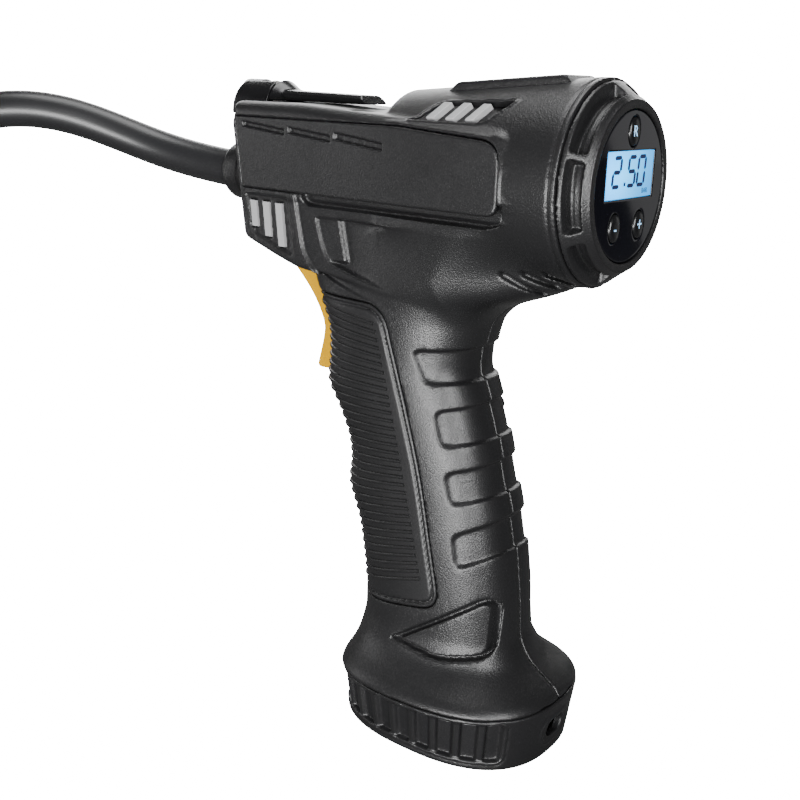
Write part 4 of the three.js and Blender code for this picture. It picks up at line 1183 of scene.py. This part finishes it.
class INFLATOR_OT_foot(bpy.types.Operator):
    """Moulds the base cap: a band of windows between bars, and the charge port's boss"""

    bl_idname = "inflator.foot"
    bl_label = "Base cap"

    def execute(self, context):
        step = 0.45
        axes = grid((-43, -36, -1), (43, 36, 22), step)
        x, y, z = axes
        share = np.clip(z / RIM_HEIGHT, 0, 1.2)
        taper = 2.4 * (1 - share)
        reach, width = RIM_LENGTH - taper, RIM_WIDTH - taper
        n = 2.5
        level = ((np.abs(x) / reach) ** n + (np.abs(y) / width) ** n) ** (1 / n) - 1
        slopes = np.gradient(level.astype(np.float32), step)
        side = level / np.maximum(np.sqrt(sum(s * s for s in slopes)), 0.012)
        top = z - rim_height(x) + GAP / 2
        form = rounded_max(rounded_max(side, -z, 0.9), top, 0.5)
        mean_radius = 37.5
        arc = mean_radius * np.arctan2(y / RIM_WIDTH, -x / RIM_LENGTH)
        band_reach, pitch = 92.5, 7.77
        top_edge = rim_height(x) - 1.6
        band = rounded_max(np.abs(arc) - band_reach, np.maximum(3.6 - z, z - top_edge), 2.4)
        bars = np.abs(((arc + pitch / 2) % pitch) - pitch / 2) - 1.35
        skin = form + (2.1 - 1.5 * ramp(bars, 0.9)) * ramp(band, 0.6)
        skin = skin + 0.4 * ramp(np.abs(band - 1.2) - 0.25, 0.5) * (z < top_edge + 1)
        # The charge port's boss, and its hole.
        boss = np.sqrt((np.maximum(np.abs(y) - 3.2, 0)) ** 2 + (z - 10.2) ** 2) - 5.4
        rear = x > 20
        skin = skin - 0.45 * ramp(np.abs(boss + 0.5) - 0.8, 0.8) * rear
        body = np.maximum(skin, -np.maximum(side + WALL + 2.2 * ramp(band - 2, 1.5), WALL - z))
        hole = np.sqrt((np.maximum(np.abs(y) - 1.8, 0)) ** 2 + (z - 10.4) ** 2) - 3.3
        body = np.maximum(body, -np.maximum(hole, 28 - x))
        cap = moulded("foot_cap", body, axes, step, black_plastic(), 150000)
        on_casing(cap, "black_shell", "base_cap")
        return {"FINISHED"}


# The bezel's cone, as x and radius from front to rear, and its slots, as angles from the level.
CONE_X, CONE_RADIUS = (42.5, 43.7, 50.2), (29.4, 29.0, 24.2)
SLOT_ANGLES = ((-83, -34), (-25, 17), (22, 83))


class INFLATOR_OT_bezel(bpy.types.Operator):
    """Moulds the bezel cone with its six slots"""

    bl_idname = "inflator.bezel"
    bl_label = "Rear bezel"

    def execute(self, context):
        step = 0.4
        axes = grid((40.5, -31.5, 157.5), (51.5, 31.5, 220.5), step)
        x, y, z = axes
        up = z - AXIS_Z
        radius = np.sqrt(y * y + up * up)
        angle = np.degrees(np.arctan2(up, np.abs(y)))
        cone = (radius - np.interp(x, CONE_X, CONE_RADIUS)) * 0.8
        form = rounded_max(cone, x - 50.1, 0.5)
        form = np.maximum(form, CONE_X[0] - x)
        along = (x - CONE_X[1]) / (CONE_X[2] - CONE_X[1])
        slots = np.full(np.broadcast_shapes(x.shape, radius.shape), 9, np.float32)
        for low, high in SLOT_ANGLES:
            middle, half = (low + high) / 2, (high - low) / 2
            arc = (np.abs(angle - middle) - half) * math.radians(1) * 27
            slots = np.minimum(slots, rounded_max(arc, (np.abs(along - 0.34) - 0.27) * 8, 0.6))
        step_line = smoothstep((along - 0.26) / 0.06)
        form = form + (3.4 - 1.3 * step_line) * ramp(slots, 0.6)
        form = np.maximum(form, -(radius - GLASS_RADIUS))
        ring = rounded_max(radius - 24.6, x - 50.2, 0.4)
        lip = np.maximum(ring, -(radius - GLASS_RADIUS))
        form = np.minimum(form, np.maximum(lip, 44 - x))
        bezel = moulded("bezel", form, axes, step, black_plastic(), 120000)
        on_casing(bezel, "black_shell", "rear_bezel")
        return {"FINISHED"}


DIGIT_WIDTH, DIGIT_HEIGHT = 4.4, 8.0
# The lit bars of each figure, named a to g from the top, clockwise, with the middle one last.
SEGMENTS = {
    "0": "abcdef",
    "2": "abged",
    "5": "afgcd",
}


class INFLATOR_OT_display(bpy.types.Operator):
    """Makes the dark lens, the lit screen with its figures, and the three buttons"""

    bl_idname = "inflator.display"
    bl_label = "Display"

    def execute(self, context):
        step = 0.3
        centre_z = 192.6
        axes = grid((47, -22.6, 166.4), (50.6, 22.6, 211.6), step)
        x, y, z = axes
        radius = np.sqrt(y * y + (z - AXIS_Z) ** 2)
        window = np.maximum(np.abs(y) - 15, np.abs(z - centre_z) - 6.7)
        body = rounded_max(np.maximum(radius - GLASS_RADIUS + GAP, 47.8 - x), x - 49.8, 0.35)
        body = np.maximum(body, -window)
        for node in ("button_reset", "button_minus", "button_plus"):
            low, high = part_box(node)
            by, bz = (low.y + high.y) / 2 / MM, (low.z + high.z) / 2 / MM
            ry, rz = (high.y - low.y) / 2 / MM + GAP, (high.z - low.z) / 2 / MM + GAP
            hole = (np.sqrt(((y - by) / ry) ** 2 + ((z - bz) / rz) ** 2) - 1) * ry
            body = np.maximum(body, -hole)
        tone = (0.003, 0.003, 0.005)
        glass = finish("dark_glass", tone, 0.05, grain=300.0, depth=0.0015, spread=0.02, IOR=1.52)
        lens = moulded("lens", body, axes, step, glass, 120000)
        on_casing(lens, "smoked_glass", "display_lens")
        self.screen(centre_z)
        self.buttons()
        return {"FINISHED"}

    def screen(self, centre_z):
        """The lit panel, with raised dark figures on its face."""
        face = 49.55
        blank = box_mesh((45.4, -14.85, centre_z - 6.55), (face, 14.85, centre_z + 6.55))
        lit = lit_screen()
        panel = make_object("screen", mesh_of("screen", *blank), lit)
        ink = finish("screen_ink", (0.004, 0.012, 0.06), 0.3, grain=500.0, depth=0.002)
        parts = [panel]
        for text, left in (("2", -10.6), ("5", -1.2), ("0", 5.0)):
            for name in SEGMENTS[text]:
                parts.append(self.segment(name, left, centre_z + 0.9, face, ink))
        dot = box_mesh((face, -3.6, centre_z - 3.1), (face + 0.08, -2.6, centre_z - 2.1))
        parts.append(make_object("dot", mesh_of("dot", *dot), ink))
        parts.append(words("BAR", 2.1, (face, 8.4, centre_z - 5.6), ink))
        joined = join("screen", parts)
        on_casing(joined, "lit_screen", "lcd_panel")

    def segment(self, name, left, middle, face, ink):
        """One bar of a seven-segment figure, with pointed ends."""
        width, half, thick = DIGIT_WIDTH, DIGIT_HEIGHT / 2, 1.15
        spots = {
            "a": (width / 2, half, 0),
            "g": (width / 2, 0, 0),
            "d": (width / 2, -half, 0),
            "f": (0, half / 2, 1),
            "b": (width, half / 2, 1),
            "e": (0, -half / 2, 1),
            "c": (width, -half / 2, 1),
        }
        across, up, standing = spots[name]
        length = (half if standing else width) - 0.35
        h, t = length / 2, thick / 2
        flat = [(-h, 0), (-h + t, t), (h - t, t), (h, 0), (h - t, -t), (-h + t, -t)]
        points = [(q, p) if standing else (p, q) for p, q in flat]
        lean = 0.09
        verts = []
        for lift in (0, 0.08):
            for p, q in points:
                rise = up + q
                verts.append((face + lift, left + across + p + lean * rise, middle + rise))
        n = len(points)
        mesh = bpy.data.meshes.new("bar")
        faces = [tuple(range(n, 2 * n)), tuple(reversed(range(n)))]
        faces += [(i, (i + 1) % n, n + (i + 1) % n, n + i) for i in range(n)]
        mesh.from_pydata([tuple(c * MM for c in v) for v in verts], [], faces)
        return outward(make_object("bar", mesh, ink))

    def buttons(self):
        """Crowned keys, each with its mark."""
        marks = {"button_reset": "R", "button_minus": "-", "button_plus": "+"}
        glow = {"Emission_Color": (0.35, 0.7, 1.0, 1), "Emission_Strength": 0.8}
        pale = finish("key_mark", (0.35, 0.6, 0.9), 0.5, grain=800.0, depth=0.004, **glow)
        for node, mark in marks.items():
            low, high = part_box(node)
            centre = ((low.y + high.y) / 2 / MM, (low.z + high.z) / 2 / MM)
            ry, rz = (high.y - low.y) / 2 / MM, (high.z - low.z) / 2 / MM
            front, rear = high.x / MM, low.x / MM
            rings = [(rear, 1), (front - 0.9, 1), (front - 0.35, 0.93), (front - 0.08, 0.78)]
            rings += [(front, 0.45), (front, 0.01)]
            sides = 40
            verts = [(rear, *centre)]
            faces = []
            for x, grow in rings:
                for i in range(sides):
                    a = 2 * math.pi * i / sides
                    across, up = ry * grow * math.cos(a), rz * grow * math.sin(a)
                    verts.append((x, centre[0] + across, centre[1] + up))
            for k in range(len(rings) - 1):
                for i in range(sides):
                    j = (i + 1) % sides
                    b = 1 + k * sides
                    faces.append((b + i, b + j, b + sides + j, b + sides + i))
            faces += [(0, 1 + (i + 1) % sides, 1 + i) for i in range(sides)]
            last = 1 + (len(rings) - 1) * sides
            faces.append(tuple(last + i for i in range(sides)))
            mesh = bpy.data.meshes.new(node)
            mesh.from_pydata([tuple(c * MM for c in v) for v in verts], [], faces)
            key = outward(make_object(node + "_key", mesh, gloss_black()))
            key.data.shade_smooth()
            size = 4.4 if mark == "R" else 5.4
            place = (front - 0.02, centre[0] - 0.5, centre[1])
            label = words(mark, size, place, pale, centred=True)
            joined = join(node + "_key", [key, label])
            kind = node.removeprefix("button_")
            on_casing(joined, "gloss_black", node, body=f"{kind}_button")


def lit_screen():
    """A lit display: brighter towards its middle."""
    material = bpy.data.materials.new("lit_display")
    material.use_nodes = True
    nodes, links = material.node_tree.nodes, material.node_tree.links
    shader = nodes["Principled BSDF"]
    place = nodes.new("ShaderNodeTexCoord")
    mapping = nodes.new("ShaderNodeMapping")
    mapping.inputs["Location"].default_value = (0, 0, -0.193)
    scale = nodes.new("ShaderNodeVectorMath")
    scale.operation = "MULTIPLY"
    scale.inputs[1].default_value = (0, 62, 95)
    fade = nodes.new("ShaderNodeTexGradient")
    fade.gradient_type = "SPHERICAL"
    colour = nodes.new("ShaderNodeValToRGB")
    colour.color_ramp.elements[0].color = (*colours().screen, 1)
    colour.color_ramp.elements[1].color = (0.06, 0.5, 1.0, 1)
    wire(
        links,
        (place, "Object", mapping, "Vector"),
        (mapping, "Vector", scale, 0),
        (scale, "Vector", fade, "Vector"),
        (fade, "Fac", colour, "Fac"),
        (colour, "Color", shader, "Base Color"),
        (colour, "Color", shader, "Emission Color"),
    )
    shader.inputs["Emission Strength"].default_value = 1.7
    shader.inputs["Roughness"].default_value = 0.45
    shader.inputs["Specular IOR Level"].default_value = 0.08
    return material


def box_mesh(low, high):
    corners = [(x, y, z) for x in (low[0], high[0]) for y in (low[1], high[1]) for z in (low[2], high[2])]
    faces = [(0, 1, 3, 2), (4, 6, 7, 5), (0, 4, 5, 1), (2, 3, 7, 6), (0, 2, 6, 4), (1, 5, 7, 3)]
    return np.array(corners, float), faces


def words(text, size, place, material, centred=False):
    """Raised generic lettering that faces +X, as a mesh."""
    curve = bpy.data.curves.new("letters", "FONT")
    curve.body = text
    curve.size = size * MM
    curve.extrude = 0.05 * MM
    if centred:
        curve.align_x, curve.align_y = "CENTER", "CENTER"
    letters = bpy.data.objects.new("letters", curve)
    bpy.context.scene.collection.objects.link(letters)
    mesh = bpy.data.meshes.new_from_object(letters.evaluated_get(bpy.context.evaluated_depsgraph_get()))
    bpy.data.objects.remove(letters)
    turn = Matrix(((0, 0, 1), (1, 0, 0), (0, 1, 0))).to_4x4()
    mesh.transform(Matrix.Translation(Vector(place) * MM) @ turn)
    mesh.materials.clear()
    return make_object("letters", mesh, material)


class INFLATOR_OT_trigger(bpy.types.Operator):
    """Moulds the trigger blade with rounded edges, in yellow plastic with a painted glow"""

    bl_idname = "inflator.trigger"
    bl_label = "Trigger"

    def execute(self, context):
        step = 0.35
        axes = grid((-77.45, -7, 114), (-46, 7, 167), step)
        x, y, z = axes
        blade = outline_distance(TRIGGER_OUTLINE, x, z)
        body = rounded_max(blade, np.abs(y) - TRIGGER_HALF, 1.3)
        pin = np.hypot(x - TRIGGER_PIN[0], z - TRIGGER_PIN[1]) - 1.75
        body = np.maximum(body, -pin)
        # The emission is a painted glow: it brightens the yellow as if more light fell on it, though the
        # trigger is no lamp.
        glow = {"Emission_Color": (1.0, 0.52, 0.0, 1), "Emission_Strength": 0.24, "Specular_IOR_Level": 0.05}
        tone = colours().trigger
        yellow = finish("yellow_plastic_painted_glow", tone, 0.5, grain=1800.0, depth=0.01, spread=0.06, **glow)
        piece = moulded("trigger_key", body, axes, step, yellow, 60000)
        on_casing(piece, "yellow_trigger", "trigger", body="trigger_blade")
        return {"FINISHED"}


class INFLATOR_OT_ferrule(bpy.types.Operator):
    """Turns the ferrule that holds the hose"""

    bl_idname = "inflator.ferrule"
    bl_label = "Hose ferrule"

    def execute(self, context):
        low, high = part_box("hose_ferrule")
        front, rear = low.x / MM, high.x / MM
        outer, inner = FERRULE_RADIUS, 7.05
        profile = [
            (front, inner),
            (front, outer - 2.6),
            (front + 0.4, outer - 2.0),
            (front + 2.2, outer - 0.35),
            (front + 3.0, outer),
            (front + 8.6, outer),
            (front + 8.9, outer - 0.5),
            (front + 9.6, outer - 0.5),
            (front + 9.9, outer),
            (rear, outer),
            (rear, inner),
        ]
        piece = lathe("ferrule", profile, (0, HOSE_EXIT_Z), black_plastic())
        outward(piece)
        sharp_above(piece, 40)
        on_casing(piece, "black_shell", "hose_ferrule")
        return {"FINISHED"}


class INFLATOR_OT_inner_works(bpy.types.Operator):
    """Gives every piece that keeps its own shape its finish"""

    bl_idname = "inflator.inner_works"
    bl_label = "Inner works"

    def execute(self, context):
        metal = {"Metallic": 1.0}
        looks = {
            "black_shell": black_plastic(),
            "black_rubber": black_rubber(),
            "gloss_black": gloss_black(),
            "grey_trim": grey_bars(),
            "smoked_glass": gloss_black(),
            "lit_screen": grey_bars(),
            "board_green": finish("solder_resist", (0.01, 0.09, 0.03), 0.3, grain=700.0),
            "clear_white": finish("pale_plastic", (0.72, 0.72, 0.69), 0.3, grain=1500.0),
            "bare_aluminium": finish("cast_aluminium", (0.5, 0.51, 0.53), 0.38, 1200.0, 0.04, **metal),
            "plain_steel": finish("bright_steel", (0.42, 0.43, 0.44), 0.28, grain=2000.0, **metal),
            "copper_winding": finish("enamelled_copper", (0.45, 0.16, 0.05), 0.35, grain=900.0, **metal),
            "plain_brass": finish("turned_brass", (0.58, 0.38, 0.12), 0.26, grain=1500.0, **metal),
            "yellow_trigger": grey_bars(),
            "cell_wrap": finish("shrink_wrap", (0.02, 0.12, 0.42), 0.25, grain=500.0),
        }
        for row in frame["record"]["subparts"]:
            node = frame["nodes"][row["node"]]
            material = looks[row["material_slot"]]
            if row["node"].startswith("casing_screw"):
                material = finish("blackened_steel", (0.03, 0.03, 0.032), 0.35, grain=2000.0, **metal)
            node.data.materials.clear()
            node.data.materials.append(material)
        return {"FINISHED"}


# Soft boxes: name, place, aim, width, height (metres) and power (watts).
SOFT_BOXES = (
    ("overhead", (-0.15, 0.05, 0.90), (0, 0, 0.18), 0.50, 0.40, 4.5),
    ("back_rim", (-0.45, 0.62, 0.47), (0, 0, 0.20), 1.10, 0.34, 7.0),
    ("left_front", (-0.75, -0.30, 0.22), (-0.03, 0, 0.10), 0.20, 0.44, 1.2),
    ("low_front", (0.12, -0.62, 0.045), (0, 0, 0.06), 0.42, 0.12, 9.0),
    ("right_rear", (0.72, -0.55, 0.36), (0, 0, 0.10), 0.20, 0.60, 12.0),
)
CARD_PLACE = (0.305, 0.72, 0.160)


class INFLATOR_OT_stage(bpy.types.Operator):
    """Lays the floor and hangs the soft lights"""

    bl_idname = "inflator.stage"
    bl_label = "Stage"

    def execute(self, context):
        floor = make_object("floor", mesh_of("floor", *floor_mesh()), white_paper())
        context.scene.world = studio_air()
        for name, place, target, width, height, power in SOFT_BOXES:
            soft_box(name, place, target, width, height, power)
        card = soft_box("glass_card", CARD_PLACE, (0.305, 0, 0.160), 0.20, 0.60, 0.15)
        lean = Matrix(((-0.903, 0.43, 0), (0, 0, 1), (0.43, 0.903, 0))).to_4x4()
        card.matrix_world = Matrix.Translation(CARD_PLACE) @ lean
        return {"FINISHED"}


def white_paper():
    """A white floor that shows as white, and lights the object only softly."""
    white = bpy.data.materials.new("white_paper")
    white.use_nodes = True
    nodes, links = white.node_tree.nodes, white.node_tree.links
    shader = nodes["Principled BSDF"]
    paper, tone = nodes.new("ShaderNodeTexNoise"), nodes.new("ShaderNodeMapRange")
    paper.inputs["Scale"].default_value = 400
    tone.inputs["To Min"].default_value = 0.10
    tone.inputs["To Max"].default_value = 0.12
    wire(
        links,
        (paper, "Fac", tone, "Value"),
        (tone, 0, shader, "Base Color"),
    )
    shader.inputs["Roughness"].default_value = 0.9
    shader.inputs["Specular IOR Level"].default_value = 0.1
    shader.inputs["Emission Color"].default_value = (1, 1, 1, 1)
    ray, glow = nodes.new("ShaderNodeLightPath"), nodes.new("ShaderNodeMath")
    glow.operation = "MULTIPLY"
    glow.inputs[1].default_value = 24.0
    wire(
        links,
        (ray, "Is Camera Ray", glow, 0),
        (glow, 0, shader, "Emission Strength"),
    )
    return white


def studio_air():
    """A white backdrop that lights the object with a dimmer sky."""
    world = bpy.data.worlds.new("studio")
    world.use_nodes = True
    nodes, links = world.node_tree.nodes, world.node_tree.links
    background = nodes["Background"]
    ray, level = nodes.new("ShaderNodeLightPath"), nodes.new("ShaderNodeMapRange")
    level.inputs["To Min"].default_value = 0.10
    level.inputs["To Max"].default_value = 24.0
    wire(
        links,
        (ray, "Is Camera Ray", level, "Value"),
        (level, 0, background, "Strength"),
    )
    background.inputs["Color"].default_value = (1, 1, 1, 1)
    return world


def floor_mesh():
    """A flat floor, very large, in millimetres."""
    reach, front, back = 6000, -2500, 3000
    vertices = [(-reach, front, 0), (reach, front, 0), (reach, back, 0), (-reach, back, 0)]
    return np.array(vertices, float), [(0, 1, 2, 3)]


def soft_box(name, place, target, width, height, power):
    data = bpy.data.lights.new(name, "AREA")
    data.shape = "RECTANGLE"
    data.size, data.size_y = width, height
    data.energy = power
    light = bpy.data.objects.new(name, data)
    aim = (Vector(target) - Vector(place)).to_track_quat("-Z", "Y")
    light.matrix_world = Matrix.Translation(place) @ aim.to_matrix().to_4x4()
    bpy.context.scene.collection.objects.link(light)
    return light


OPERATORS = (
    INFLATOR_OT_camera,
    INFLATOR_OT_hose,
    INFLATOR_OT_inner_works,
    INFLATOR_OT_casing,
    INFLATOR_OT_insert,
    INFLATOR_OT_panels,
    INFLATOR_OT_vents,
    INFLATOR_OT_lamp,
    INFLATOR_OT_pad,
    INFLATOR_OT_foot,
    INFLATOR_OT_bezel,
    INFLATOR_OT_display,
    INFLATOR_OT_trigger,
    INFLATOR_OT_ferrule,
    INFLATOR_OT_stage,
)


class INFLATOR_PT_panel(bpy.types.Panel):
    """Lists the inflator's sizes, colours and steps"""

    bl_idname = "INFLATOR_PT_panel"
    bl_label = "Inflator"
    bl_space_type = "VIEW_3D"
    bl_region_type = "UI"
    bl_category = "Inflator"

    def draw(self, context):
        for group in (context.scene.inflator_sizes, context.scene.inflator_colours):
            for key in group.__annotations__:
                self.layout.prop(group, key)
        for operator in OPERATORS:
            self.layout.operator(operator.bl_idname)


def register():
    for kind in (InflatorColours, InflatorSizes, *OPERATORS, INFLATOR_PT_panel):
        bpy.utils.register_class(kind)
    bpy.types.Scene.inflator_colours = bpy.props.PointerProperty(type=InflatorColours)
    bpy.types.Scene.inflator_sizes = bpy.props.PointerProperty(type=InflatorSizes)


def unregister():
    del bpy.types.Scene.inflator_sizes
    del bpy.types.Scene.inflator_colours
    for kind in (INFLATOR_PT_panel, *reversed(OPERATORS), InflatorSizes, InflatorColours):
        bpy.utils.unregister_class(kind)


def main():
    register()
    for operator in OPERATORS:
        getattr(bpy.ops.inflator, operator.bl_idname.split(".")[1])()


if __name__ == "__main__":
    main()
